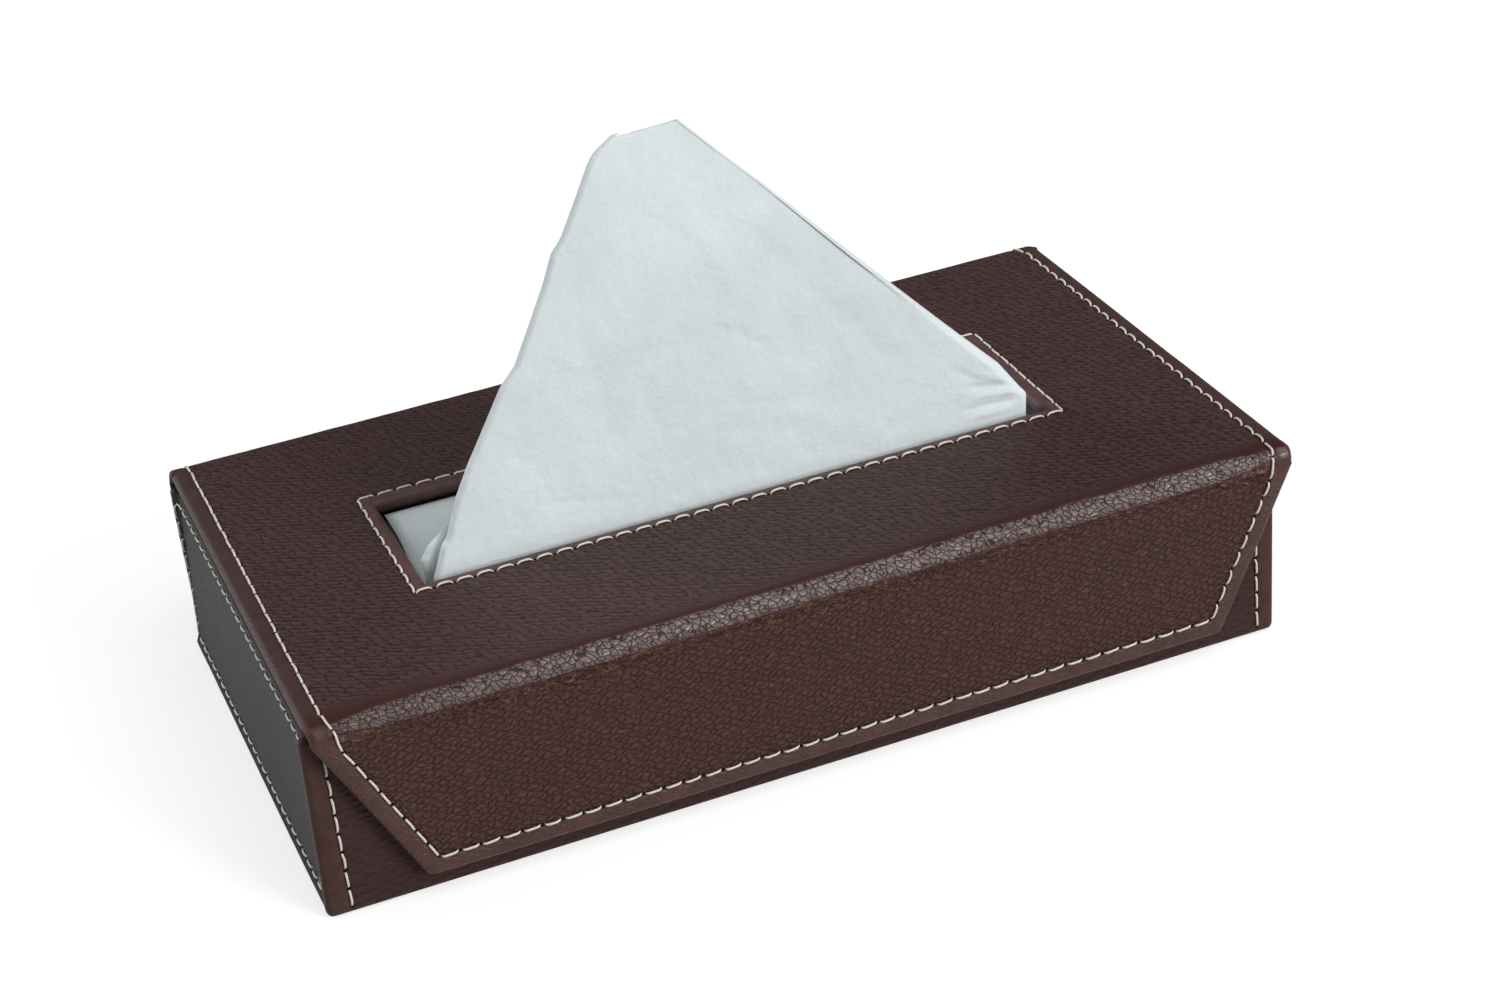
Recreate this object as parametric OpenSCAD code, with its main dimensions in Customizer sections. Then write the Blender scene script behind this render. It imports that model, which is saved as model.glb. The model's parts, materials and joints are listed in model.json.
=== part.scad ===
// Leatherette tissue box cover: a sewn tray, a hinged lid with a slot and a hanging front flap.
// The front wall, base, back wall, lid and flap are one long strip of covered boards.
// Two separate end panels are sewn in between them.
// Origin: middle of the tray's underside. X runs along the long side, the front faces -Y, Z is up.

/* [Tray] */
// Width of the tray over its sewn edges
tray_w = 257; // [236:1:300]
// Depth of the tray over its front and back walls
tray_d = 145; // [130:1:190]
// Height of the closed cover
body_h = 55; // [50:1:100]
// How far each end panel sits in from the sewn edges
end_inset = 2; // [1:0.25:4]
// How much lower the end panels are than the front and back walls
end_drop = 1; // [0.5:0.25:3]
// Radius of the bend under the front and back walls
bend_r = 2; // [1.5:0.25:2.5]

/* [Lid] */
// How much wider than the tray the lid is at each end
lid_overhang = 1.5; // [0:0.25:3]
// How far the lid and flap sit to the right of the tray
lid_shift = 3; // [0:0.5:4]
// Width of the slot that tissues are pulled through
slot_w = 171; // [140:1:200]
// Depth of the slot, front to back
slot_d = 46.5; // [36:0.5:60]
// Width of the rolled leather that lines the slot
binding_w = 2; // [1.5:0.25:3]
// How far the rolled leather stands above the lid
binding_rise = 0.4; // [0.2:0.1:1]
// Gap between the closed lid and the top of the walls
rest_gap = 0.3; // [0.2:0.1:0.6]

/* [Flap] */
// How much narrower than the lid the flap is at each end of its top
flap_shoulder = 1.5; // [0:0.25:4]
// How much narrower the flap is at each end of its lower edge than at its top
flap_taper = 21; // [0:0.5:40]
// Height of the flap's lower edge above the ground
flap_foot_z = 6.7; // [4:0.1:20]
// Radius of the flap's two lower corners
flap_corner_r = 3; // [1:0.25:6]
// Radius of the leather fold above the flap
fold_r = 3; // [2:0.25:3.5]
// Gap between the flap and the front wall
flap_gap = 0.9; // [0.8:0.1:2]
// Gap between a leather fold and the panels on each side of it
fold_gap = 0.3; // [0.2:0.1:0.6]

/* [Boards and covering] */
// Thickness of the leatherette
skin_t = 1; // [0.8:0.1:1.4]
// Thickness of the stiffening board in the tray and the lid
board_t = 2.4; // [2:0.1:4]
// Thickness of the stiffening board in the flap
flap_board_t = 2; // [1.8:0.1:3]
// Thickness of the fabric lining
lining_t = 0.6; // [0.4:0.1:1]
// How far the linings stop short of a panel's edge
lining_inset = 1.5; // [1:0.25:3]

/* [Stitching] */
// Distance from one stitch to the next
stitch_pitch = 5.2; // [3:0.1:8]
// Gap between two stitches of a seam
stitch_gap = 1; // [0.5:0.1:2]
// Width of the thread
thread_w = 0.9; // [0.6:0.1:1.2]
// How far the thread stands above the leather
thread_rise = 0.5; // [0.3:0.1:0.6]
// Distance of a seam from the sewn edge of a panel
seam_inset = 5; // [4:0.25:8]
// Distance of a seam from the edge of the slot
slot_seam = 4; // [3:0.25:8]
// Distance of a seam from the edge of an end panel
end_seam = 3.5; // [2.5:0.25:8]

/* [Magnets] */
// Diameter of each magnet
magnet_d = 10; // [6:0.5:15]
// Thickness of each magnet
magnet_t = 1.5; // [1:0.1:1.7]
// Distance between the two magnets of a pair
magnet_span = 120; // [60:1:180]
// Height of the magnets above the flap's lower edge
magnet_rise = 16; // [10:0.5:24]

/* [Tissues] */
// Gap between the stack of folded tissues and each end of the room for it
stack_end_gap = 9.5; // [4:0.5:20]
// Gap between the stack and the front and back of the room
stack_wall_gap = 9.5; // [4:0.5:20]
// Gap between the stack and the closed lid
stack_head_gap = 9; // [6:0.5:20]
// Radius of the stack's rounded upright edges
stack_r = 3; // [1:0.5:8]
// Height of the pulled tissue above the lid
tissue_h = 97.5; // [60:0.5:120]
// Thickness of the pulled tissue with its folded layers
tissue_t = 1.2; // [0.8:0.1:2]
// Distance of the tissue from the front edge of the slot
tissue_edge_gap = 2.4; // [2:0.1:6]
// How far the tissue leans back at its tip
tissue_lean = 9; // [0:0.5:20]
// How far the tissue's two sides curl back
tissue_curl = 12; // [0:0.5:16]
// Depth of the tissue's upright folds
tissue_fold = 2.4; // [0:0.1:6]
// Clearance between the tissue and the stack under it
tissue_gap = 0.4; // [0.3:0.1:1]

/* [Hidden] */
$fn = 48;

leather = [0.28, 0.19, 0.175];
end_leather = [0.27, 0.26, 0.265];
board_grey = [0.62, 0.58, 0.52];
lining_black = [0.12, 0.11, 0.11];
thread_cream = [0.87, 0.84, 0.80];
magnet_steel = [0.70, 0.70, 0.72];
paper_white = [0.86, 0.90, 0.90];

// One overrun serves every cut that passes through a face.
cut = 1;

// A covered board without its lining, and with it
panel_t = skin_t + board_t;
wall_t = panel_t + lining_t;
flap_panel_t = skin_t + flap_board_t;
flap_t = flap_panel_t + lining_t;

lid_w = tray_w + 2 * lid_overhang;

// Heights of the lid's underside, of the front and back walls, and of the end panels
lid_z = body_h - wall_t;
wall_h = lid_z - rest_gap;
end_top = wall_h - end_drop;

// The two leather folds are rolls round their own hinge lines.
back_fold_r = wall_t / 2;
back_fold_y = tray_d / 2 - back_fold_r;
back_fold_z = body_h - back_fold_r;
flap_face_y = -(tray_d / 2 + flap_gap + flap_t);
front_fold_y = flap_face_y + fold_r;
front_fold_z = body_h - fold_r;

// The lid runs from fold to fold, and the flap hangs from the front one.
lid_front = front_fold_y + fold_r + fold_gap;
lid_back = back_fold_y - back_fold_r - fold_gap;
flap_top_z = front_fold_z - fold_r - fold_gap;
flap_top_half = lid_w / 2 - flap_shoulder;
flap_slope = flap_taper / (flap_top_z - flap_foot_z);
flap_angle = atan(flap_slope);
flap_secant = 1 / cos(flap_angle);

// Faces of the end panels and of the board inside the front and back walls
end_face = tray_w / 2 - end_inset;
end_in = end_face - panel_t;
room_half_w = end_in - lining_t;
panel_in = tray_d / 2 - panel_t;
room_half_d = panel_in - lining_t;

magnet_z = flap_foot_z + magnet_rise;

// The stack fills the room between the linings but for its gaps.
stack_w = 2 * (room_half_w - stack_end_gap);
stack_d = 2 * (room_half_d - stack_wall_gap);
stack_top = lid_z - stack_head_gap;

// The pulled tissue: its lower end, its outline and its folds
tissue_foot_z = stack_top + tissue_gap;
tissue_len = body_h + tissue_h - tissue_foot_z;
tissue_y = -slot_d / 2 + tissue_edge_gap;
// Shares of the height, and of half the slot's width at that height
left_shares = [[0, -0.97], [0.15, -0.975], [0.22, -0.92], [0.32, -0.82], [0.43, -0.71],
    [0.49, -0.64], [0.58, -0.56], [0.72, -0.465], [0.88, -0.33], [1, -0.225]];
right_shares = [[0, 0.96], [0.15, 0.965], [0.22, 0.905], [0.34, 0.765], [0.46, 0.62],
    [0.57, 0.49], [0.8, 0.23], [0.9, 0.115], [1, -0.005]];
// Shares of the fold depth, and of the sides' curl, at each share of the height
fold_shares = [[0, 0.1], [0.12, 0.15], [0.35, 0.8], [0.6, 1], [0.85, 0.6], [1, 0.25]];
curl_shares = [[0, 0], [0.12, 0.05], [0.3, 0.55], [0.6, 1], [0.85, 0.7], [1, 0.35]];
// How far the tip's left corner lies below its right one, as a share of the height
tip_fall_share = 0.014;
tissue_cols = 30;
tissue_rows = 18;

// A board lying flat between two opposite corners
module slab(low, high) {
    translate(low) cube(high - low);
}

// A flat rectangle of the given width and depth, centred, from one height up to another
module plate(w, d, low, high) {
    translate([-w / 2, -d / 2, low]) cube([w, d, high - low]);
}

// One stitch lying along X on the plane z = 0, with its flattened round top
module stitch(len) {
    rotate([90, 0, 90]) translate([0, 0, -len / 2]) linear_extrude(len)
        polygon([[-thread_w / 2, 0], [thread_w / 2, 0], [thread_w / 4, thread_rise],
            [-thread_w / 4, thread_rise]]);
}

// A row of stitches on the plane z = 0 from point a to point b
module seam(a, b) {
    run = norm(b - a);
    count = max(1, round(run / stitch_pitch));
    turn = atan2(b[1] - a[1], b[0] - a[0]);
    for (i = [0 : count - 1])
        translate(concat(a + (b - a) * (i + 0.5) / count, 0)) rotate(turn)
            stitch(run / count - stitch_gap);
}

// Seams along the sides of a rectangle, or any other closed outline
module seam_loop(points) {
    for (i = [0 : len(points) - 1]) seam(points[i], points[(i + 1) % len(points)]);
}

// Places a drawing made in X and Z on the front wall, on the flap or on the left end panel
module on_front() {
    translate([0, -tray_d / 2, 0]) rotate([90, 0, 0]) children();
}

module on_flap() {
    translate([lid_shift, flap_face_y, 0]) rotate([90, 0, 0]) children();
}

module on_left_end() {
    translate([-end_face, 0, 0]) rotate([90, 0, -90]) children();
}

// The strip's section under the tray, with its two bent lower corners
module strip_section() {
    union() {
        translate([-tray_d / 2, bend_r]) square([tray_d, wall_h - bend_r]);
        translate([-tray_d / 2 + bend_r, 0]) square([tray_d - 2 * bend_r, wall_h]);
        for (side = [-1, 1]) translate([side * (tray_d / 2 - bend_r), bend_r]) circle(bend_r);
    }
}

module base_board_shape() {
    plate(tray_w - 2 * skin_t, tray_d - 2 * skin_t, skin_t, panel_t);
}

module front_board_shape() {
    slab([-tray_w / 2 + skin_t, -tray_d / 2 + skin_t, panel_t],
        [tray_w / 2 - skin_t, -panel_in, wall_h - skin_t]);
}

// One magnet or its pocket, with its axis along Y and its near face at y
module magnet_disc(x, y) {
    translate([x, y, magnet_z]) rotate([-90, 0, 0]) cylinder(d = magnet_d, h = magnet_t);
}

module magnet_pair(y) {
    for (side = [-1, 1]) magnet_disc(lid_shift + side * magnet_span / 2, y);
}

module tray_wrap() {
    color(leather) difference() {
        translate([-tray_w / 2, 0, 0]) rotate([90, 0, 90]) linear_extrude(tray_w) strip_section();
        plate(tray_w + 2 * cut, 2 * panel_in, panel_t, body_h);
        base_board_shape();
        front_board_shape();
        mirror([0, 1, 0]) front_board_shape();
    }
}

module base_board() {
    color(board_grey) base_board_shape();
}

module front_board() {
    color(board_grey) difference() {
        front_board_shape();
        magnet_pair(-tray_d / 2 + skin_t);
    }
}

module back_board() {
    color(board_grey) mirror([0, 1, 0]) front_board_shape();
}

module end_board_shape() {
    slab([-end_face + skin_t, -panel_in + skin_t, panel_t + skin_t],
        [-end_in, panel_in - skin_t, end_top - skin_t]);
}

module left_end_cover() {
    color(end_leather) difference() {
        slab([-end_face, -panel_in, panel_t], [-end_in, panel_in, end_top]);
        end_board_shape();
    }
}

module left_end_board() {
    color(board_grey) end_board_shape();
}

module right_end_cover() {
    mirror([1, 0, 0]) left_end_cover();
}

module right_end_board() {
    mirror([1, 0, 0]) left_end_board();
}

module base_lining() {
    color(lining_black) plate(2 * room_half_w, 2 * room_half_d, panel_t, wall_t);
}

module front_lining() {
    color(lining_black) slab([-room_half_w, -panel_in, panel_t],
        [room_half_w, -room_half_d, wall_h - lining_inset]);
}

module back_lining() {
    mirror([0, 1, 0]) front_lining();
}

module left_end_lining() {
    color(lining_black) slab([-end_in, -panel_in, panel_t],
        [-room_half_w, panel_in, end_top - lining_inset]);
}

module right_end_lining() {
    mirror([1, 0, 0]) left_end_lining();
}

module wall_magnets() {
    color(magnet_steel) magnet_pair(-tray_d / 2 + skin_t);
}

module front_stitching() {
    color(thread_cream) on_front() for (side = [-1, 1])
        seam([side * (tray_w / 2 - seam_inset), bend_r],
            [side * (tray_w / 2 - seam_inset), wall_h - skin_t]);
}

module back_stitching() {
    mirror([0, 1, 0]) front_stitching();
}

module left_end_stitching() {
    half = panel_in - end_seam;
    low = panel_t + end_seam;
    high = end_top - end_seam;
    color(thread_cream) on_left_end()
        seam_loop([[-half, low], [half, low], [half, high], [-half, high]]);
}

module right_end_stitching() {
    mirror([1, 0, 0]) left_end_stitching();
}

// The folded tissues in the tray, a soft block with rounded upright edges
module tissue_stack() {
    color(paper_white) translate([0, 0, wall_t]) linear_extrude(stack_top - wall_t) union() {
        square([stack_w, stack_d - 2 * stack_r], center = true);
        square([stack_w - 2 * stack_r, stack_d], center = true);
        for (sx = [-1, 1], sy = [-1, 1])
            translate([sx * (stack_w / 2 - stack_r), sy * (stack_d / 2 - stack_r)])
                circle(stack_r);
    }
}

// A flat layer of the lid, drawn in by the given inset on its four sides, with the slot cut out
module lid_layer(inset, low, high) {
    difference() {
        slab([lid_shift - lid_w / 2 + inset, lid_front + inset, low],
            [lid_shift + lid_w / 2 - inset, lid_back - inset, high]);
        translate([lid_shift, 0, 0])
            plate(slot_w + 2 * binding_w, slot_d + 2 * binding_w, low - cut, high + cut);
    }
}

module lid_cover() {
    color(leather) difference() {
        lid_layer(0, lid_z + lining_t, body_h);
        slab([lid_shift - lid_w / 2 + skin_t, lid_front + skin_t, lid_z],
            [lid_shift + lid_w / 2 - skin_t, lid_back - skin_t, body_h - skin_t]);
    }
}

module lid_board() {
    color(board_grey) lid_layer(skin_t, lid_z + lining_t, body_h - skin_t);
}

module lid_lining() {
    color(lining_black) lid_layer(lining_inset, lid_z, lid_z + lining_t);
}

module slot_binding() {
    color(leather) translate([lid_shift, 0, 0]) difference() {
        plate(slot_w + 2 * binding_w, slot_d + 2 * binding_w, lid_z, body_h + binding_rise);
        plate(slot_w, slot_d, lid_z - cut, body_h + binding_rise + cut);
    }
}

module slot_stitching() {
    half_w = slot_w / 2 + slot_seam;
    half_d = slot_d / 2 + slot_seam;
    color(thread_cream) translate([lid_shift, 0, body_h])
        seam_loop([[-half_w, -half_d], [half_w, -half_d], [half_w, half_d], [-half_w, half_d]]);
}

module lid_stitching() {
    color(thread_cream) translate([lid_shift, 0, body_h]) for (side = [-1, 1])
        seam([side * (lid_w / 2 - seam_inset), lid_front + skin_t],
            [side * (lid_w / 2 - seam_inset), lid_back - skin_t]);
}

module back_hinge_strip() {
    color(leather) translate([lid_shift - lid_w / 2, back_fold_y, back_fold_z])
        rotate([0, 90, 0]) cylinder(r = back_fold_r, h = lid_w);
}

// The front fold is cut away over the front wall.
module front_fold_strip() {
    color(leather) translate([lid_shift - lid_w / 2, 0, 0]) difference() {
        translate([0, front_fold_y, front_fold_z]) rotate([0, 90, 0]) cylinder(r = fold_r, h = lid_w);
        slab([-cut, flap_face_y + flap_t, 0], [lid_w + cut, lid_front, lid_z]);
    }
}

// Half the flap's width at height z, and its sharp outline drawn in by the given inset
function flap_half(z) = flap_top_half - flap_slope * (flap_top_z - z);

function flap_outline(inset) = let (low = flap_foot_z + inset, high = flap_top_z - inset,
        side = inset * flap_secant)
    [[-flap_half(low) + side, low], [flap_half(low) - side, low],
        [flap_half(high) - side, high], [-flap_half(high) + side, high]];

// Points along an arc about a centre, from one angle to another
function arc(centre, r, from, to, steps) =
    [for (i = [0 : steps]) let (t = from + (to - from) * i / steps) centre + r * [cos(t), sin(t)]];

// The flap's whole outline, with its two lower corners rounded
function flap_edge() = let (sharp = flap_outline(0), centres = flap_outline(flap_corner_r))
    concat(arc(centres[0], flap_corner_r, 180 + flap_angle, 270, 6),
        arc(centres[1], flap_corner_r, 270, 360 - flap_angle, 6), [sharp[2], sharp[3]]);

// A layer of the flap, from one depth behind its outer face to another
module flap_layer(outline, near, far) {
    translate([lid_shift, flap_face_y + far, 0]) rotate([90, 0, 0]) linear_extrude(far - near)
        polygon(outline);
}

module flap_cover() {
    color(leather) difference() {
        flap_layer(flap_edge(), 0, flap_panel_t);
        flap_layer(flap_outline(skin_t), skin_t, flap_panel_t + cut);
    }
}

module flap_board() {
    color(board_grey) difference() {
        flap_layer(flap_outline(skin_t), skin_t, flap_panel_t);
        magnet_pair(flap_face_y + flap_panel_t - magnet_t);
    }
}

module flap_lining() {
    color(lining_black) flap_layer(flap_outline(lining_inset), flap_panel_t, flap_t);
}

module flap_magnets() {
    color(magnet_steel) magnet_pair(flap_face_y + flap_panel_t - magnet_t);
}

// The flap's seam runs down one slanted edge, along the foot and up the other.
module flap_stitching() {
    outline = flap_outline(seam_inset);
    top = flap_top_z - skin_t;
    side = seam_inset * flap_secant;
    color(thread_cream) on_flap() {
        seam([-flap_half(top) + side, top], outline[0]);
        seam(outline[0], outline[1]);
        seam(outline[1], [flap_half(top) - side, top]);
    }
}

// A point of the pulled tissue: u runs across it, v up it, and face is -1 in front or 1 behind.
// Its two sides curl back, and soft upright folds cross it.
function tissue_point(u, v, face) =
    let (left = lookup(v, left_shares) * slot_w / 2,
        right = lookup(v, right_shares) * slot_w / 2,
        fold = tissue_fold * lookup(v, fold_shares) * (sin(540 * u + 60) + sin(900 * u) / 2) / 2,
        curl = tissue_curl * lookup(v, curl_shares) * pow(2 * u - 1, 2))
    [left + (right - left) * u,
        tissue_y + tissue_lean * v * v + curl + fold + face * tissue_t / 2,
        tissue_foot_z + tissue_len * v * (1 - tip_fall_share * (1 - u) * v)];

// The number of a point in the list of all front points and then all back points
function tissue_index(col, row, back) =
    back * (tissue_cols + 1) * (tissue_rows + 1) + row * (tissue_cols + 1) + col;

// Two triangles across the corners a, b, c and d of a cell
function split_cell(a, b, c, d) = [[a, b, c], [a, c, d]];

module pulled_tissue() {
    points = [for (face = [-1, 1], row = [0 : tissue_rows], col = [0 : tissue_cols])
        tissue_point(col / tissue_cols, row / tissue_rows, face)];
    front = [for (row = [0 : tissue_rows - 1], col = [0 : tissue_cols - 1])
        each split_cell(tissue_index(col, row, 0), tissue_index(col, row + 1, 0),
            tissue_index(col + 1, row + 1, 0), tissue_index(col + 1, row, 0))];
    back = [for (row = [0 : tissue_rows - 1], col = [0 : tissue_cols - 1])
        each split_cell(tissue_index(col, row, 1), tissue_index(col + 1, row, 1),
            tissue_index(col + 1, row + 1, 1), tissue_index(col, row + 1, 1))];
    foot_and_top = [for (col = [0 : tissue_cols - 1])
        each concat(
            split_cell(tissue_index(col, 0, 0), tissue_index(col + 1, 0, 0),
                tissue_index(col + 1, 0, 1), tissue_index(col, 0, 1)),
            split_cell(tissue_index(col, tissue_rows, 0), tissue_index(col, tissue_rows, 1),
                tissue_index(col + 1, tissue_rows, 1), tissue_index(col + 1, tissue_rows, 0)))];
    sides = [for (row = [0 : tissue_rows - 1])
        each concat(
            split_cell(tissue_index(0, row, 0), tissue_index(0, row, 1),
                tissue_index(0, row + 1, 1), tissue_index(0, row + 1, 0)),
            split_cell(tissue_index(tissue_cols, row, 0), tissue_index(tissue_cols, row + 1, 0),
                tissue_index(tissue_cols, row + 1, 1), tissue_index(tissue_cols, row, 1)))];
    color(paper_white) translate([lid_shift, 0, 0])
        polyhedron(points = points, faces = concat(front, back, foot_and_top, sides));
}

tray_wrap();
base_board();
front_board();
back_board();
left_end_cover();
left_end_board();
right_end_cover();
right_end_board();
base_lining();
front_lining();
back_lining();
left_end_lining();
right_end_lining();
wall_magnets();
front_stitching();
back_stitching();
left_end_stitching();
right_end_stitching();
tissue_stack();
lid_cover();
lid_board();
lid_lining();
slot_binding();
slot_stitching();
lid_stitching();
back_hinge_strip();
front_fold_strip();
flap_cover();
flap_board();
flap_lining();
flap_magnets();
flap_stitching();
pulled_tissue();
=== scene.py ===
"""The looks of a leatherette tissue box cover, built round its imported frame.

Sizes are in millimetres, in the frame's own axes: X along the long side, the front towards -Y, Z up.
"""
import json
import math

import bmesh
import bpy
import numpy as np
from mathutils import Matrix, Vector


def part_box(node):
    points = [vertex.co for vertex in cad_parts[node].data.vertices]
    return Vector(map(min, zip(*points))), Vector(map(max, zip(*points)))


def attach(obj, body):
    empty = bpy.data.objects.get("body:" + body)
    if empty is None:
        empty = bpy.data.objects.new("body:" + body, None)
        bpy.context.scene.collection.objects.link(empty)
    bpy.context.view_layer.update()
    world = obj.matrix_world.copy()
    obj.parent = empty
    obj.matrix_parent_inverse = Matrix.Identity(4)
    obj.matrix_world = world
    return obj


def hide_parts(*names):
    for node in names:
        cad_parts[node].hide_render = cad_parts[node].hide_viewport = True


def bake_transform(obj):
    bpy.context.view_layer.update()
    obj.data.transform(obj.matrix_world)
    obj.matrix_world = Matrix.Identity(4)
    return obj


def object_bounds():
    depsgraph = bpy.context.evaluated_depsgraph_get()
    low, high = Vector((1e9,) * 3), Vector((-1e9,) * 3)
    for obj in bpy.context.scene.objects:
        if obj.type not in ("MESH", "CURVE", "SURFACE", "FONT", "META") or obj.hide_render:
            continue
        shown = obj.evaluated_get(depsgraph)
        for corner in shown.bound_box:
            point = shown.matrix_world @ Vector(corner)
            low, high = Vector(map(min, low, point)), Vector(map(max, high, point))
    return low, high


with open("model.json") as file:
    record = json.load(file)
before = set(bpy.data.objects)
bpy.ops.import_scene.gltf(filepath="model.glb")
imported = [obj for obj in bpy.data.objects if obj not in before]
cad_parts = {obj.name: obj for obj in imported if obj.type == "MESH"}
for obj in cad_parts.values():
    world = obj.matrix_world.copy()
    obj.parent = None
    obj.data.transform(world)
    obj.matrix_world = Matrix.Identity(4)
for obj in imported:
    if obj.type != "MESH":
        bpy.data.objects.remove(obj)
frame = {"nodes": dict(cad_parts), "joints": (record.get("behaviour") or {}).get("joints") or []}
cad_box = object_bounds()

MM = 0.001


def node_box(name):
    """The lowest and highest corners of a CAD node, in millimetres."""
    low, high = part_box(name)
    return np.array(low) / MM, np.array(high) / MM


def joint_place(name):
    """The place of a joint, in millimetres."""
    joint = next(j for j in frame["joints"] if j["name"] == name)
    return np.array(joint["pos_m"]) / MM


# Places that the frame gives
lid_low, lid_high = node_box("lid_cover")
flap_low, flap_high = node_box("flap_cover")
tray_low, tray_high = node_box("tray_wrap")
end_low, end_high = node_box("left_end_cover")
rim_low, rim_high = node_box("slot_binding")
stack_low, stack_high = node_box("tissue_stack")
flap_axis = joint_place("flap_hinge")
lid_axis = joint_place("lid_hinge")

mid_x = (lid_low[0] + lid_high[0]) / 2
lid_half = (lid_high[0] - lid_low[0]) / 2
lid_top = lid_high[2]
flap_face = flap_low[1]
flap_top_half = (flap_high[0] - flap_low[0]) / 2

# Sizes of the covering, as the source of the frame has them
SKIN = 1.0
BINDING = 2.0
LIP = 0.3
FLAP_TAPER = 21.0
FLAP_CORNER = 3.0
BEND = 2.0
SEAM_INSET = 5.0
SLOT_SEAM = 4.0
END_SEAM = 3.5
PITCH = 5.2

slot_half_w = (rim_high[0] - rim_low[0]) / 2 - BINDING
slot_half_d = (rim_high[1] - rim_low[1]) / 2 - BINDING
flap_slope = FLAP_TAPER / (flap_high[2] - flap_low[2])
flap_secant = math.hypot(1, flap_slope)

# Where the leather of the lid ends and that of a fold starts
FOLD_BACK = 6.4
FOLD_DROP = 4.4
front_cut_y = flap_face + FOLD_BACK
front_cut_z = lid_top - FOLD_DROP
HINGE_BACK = 3.5
HINGE_DROP = 4.8
back_cut_y = tray_high[1] - HINGE_BACK
back_cut_z = lid_top - HINGE_DROP


def flap_half(z):
    """Half the flap's width at a height."""
    return flap_top_half - flap_slope * (flap_high[2] - z)


def lerp(a, b, share):
    return a + (b - a) * share


def smooth(low, high, value):
    """0 below low, 1 above high, and a soft step between."""
    t = np.clip((value - low) / (high - low), 0, 1)
    return t * t * (3 - 2 * t)


def bell(value, width):
    return np.exp(-((value / width) ** 2))


def as_shares(places):
    """The same places, as shares from 0 at the first to 1 at the last."""
    return (places - places[0]) / (places[-1] - places[0])


def run_along(line):
    """How far along a line each of its points is."""
    return np.concatenate([[0], np.cumsum(np.linalg.norm(np.diff(line, axis=0), axis=1))])


def as_points(x, y, z):
    return np.stack(np.broadcast_arrays(x, y, z), axis=-1)


def cell_number(i, j, seed):
    """A repeatable number from 0 to 1 for each cell of a grid."""
    n = np.sin(i * 127.1 + j * 311.7 + seed * 74.7) * 43758.5453
    return n - np.floor(n)


def soft_noise(x, y, size, seed):
    """Smooth noise from -1 to 1, whose hills are about size across."""
    gx, gy = x / size, y / size
    i, j = np.floor(gx), np.floor(gy)
    fx, fy = smooth(0, 1, gx - i), smooth(0, 1, gy - j)
    low = lerp(cell_number(i, j, seed), cell_number(i + 1, j, seed), fx)
    high = lerp(cell_number(i, j + 1, seed), cell_number(i + 1, j + 1, seed), fx)
    return 2 * lerp(low, high, fy) - 1


def graded(low, high, step, marks=(), fine=0.35, reach=1.3):
    """Places from low to high, about step apart and fine apart near the marks."""
    line = np.linspace(low, high, 3000)
    near = np.zeros_like(line)
    for mark in marks:
        near = np.maximum(near, np.exp(-(((line - mark) / reach) ** 4)))
    density = 1 / step + (1 / fine - 1 / step) * near
    total = np.concatenate([[0], np.cumsum((density[1:] + density[:-1]) / 2 * np.diff(line))])
    count = max(2, math.ceil(total[-1]))
    return np.interp(np.linspace(0, total[-1], count + 1), total, line)


# Meshes

def new_piece(name, points, faces, values=None, keep_angle=55.0):
    """An object from points in millimetres, with smooth faces, sharp edges and named point values."""
    mesh = bpy.data.meshes.new(name)
    mesh.from_pydata((np.asarray(points).reshape(-1, 3) * MM).tolist(), [], faces)
    for key, value in (values or {}).items():
        vector = key == "flow"
        layer = mesh.attributes.new(key, "FLOAT_VECTOR" if vector else "FLOAT", "POINT")
        layer.data.foreach_set("vector" if vector else "value", np.asarray(value, np.float32).ravel())
    shape = bmesh.new()
    shape.from_mesh(mesh)
    bmesh.ops.recalc_face_normals(shape, faces=shape.faces)
    shape.to_mesh(mesh)
    shape.free()
    mesh.shade_smooth()
    mesh.set_sharp_from_angle(angle=math.radians(keep_angle))
    piece = bpy.data.objects.new(name, mesh)
    bpy.context.scene.collection.objects.link(piece)
    return piece


def loop_faces(count, around, ring=False):
    """The faces between loops of around points each. In a ring, the last loop joins the first."""
    faces = []
    for row in range(count if ring else count - 1):
        here, there = row * around, (row + 1) % count * around
        for c in range(around):
            after = (c + 1) % around
            faces.append((here + c, here + after, there + after, there + c))
    return faces


def end_faces(count, around):
    """The two faces that close a row of loops."""
    return [list(range(around)), list(range((count - 1) * around, count * around))]


def padded(values, extra, fill=0.0):
    """The values of a face's points, and then those of the extra points round its rim and behind it."""
    return np.concatenate([values, np.full((len(values), extra), fill)], axis=1)


EDGE_STEPS, END_STEPS = 4, 5


def edge_path(radius, thickness, lip):
    """The way round a panel's side edge: how far out of the face, and what share of the thickness deep."""
    turn = np.linspace(0, math.pi / 2, EDGE_STEPS + 1)
    outer = [(radius * math.sin(a), radius * (1 - math.cos(a))) for a in turn[1:]]
    inner = [(radius * math.cos(a), thickness - radius * (1 - math.sin(a))) for a in turn]
    path = outer + inner + [(-lip, thickness)]
    return [(out, depth / thickness) for out, depth in path]


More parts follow.
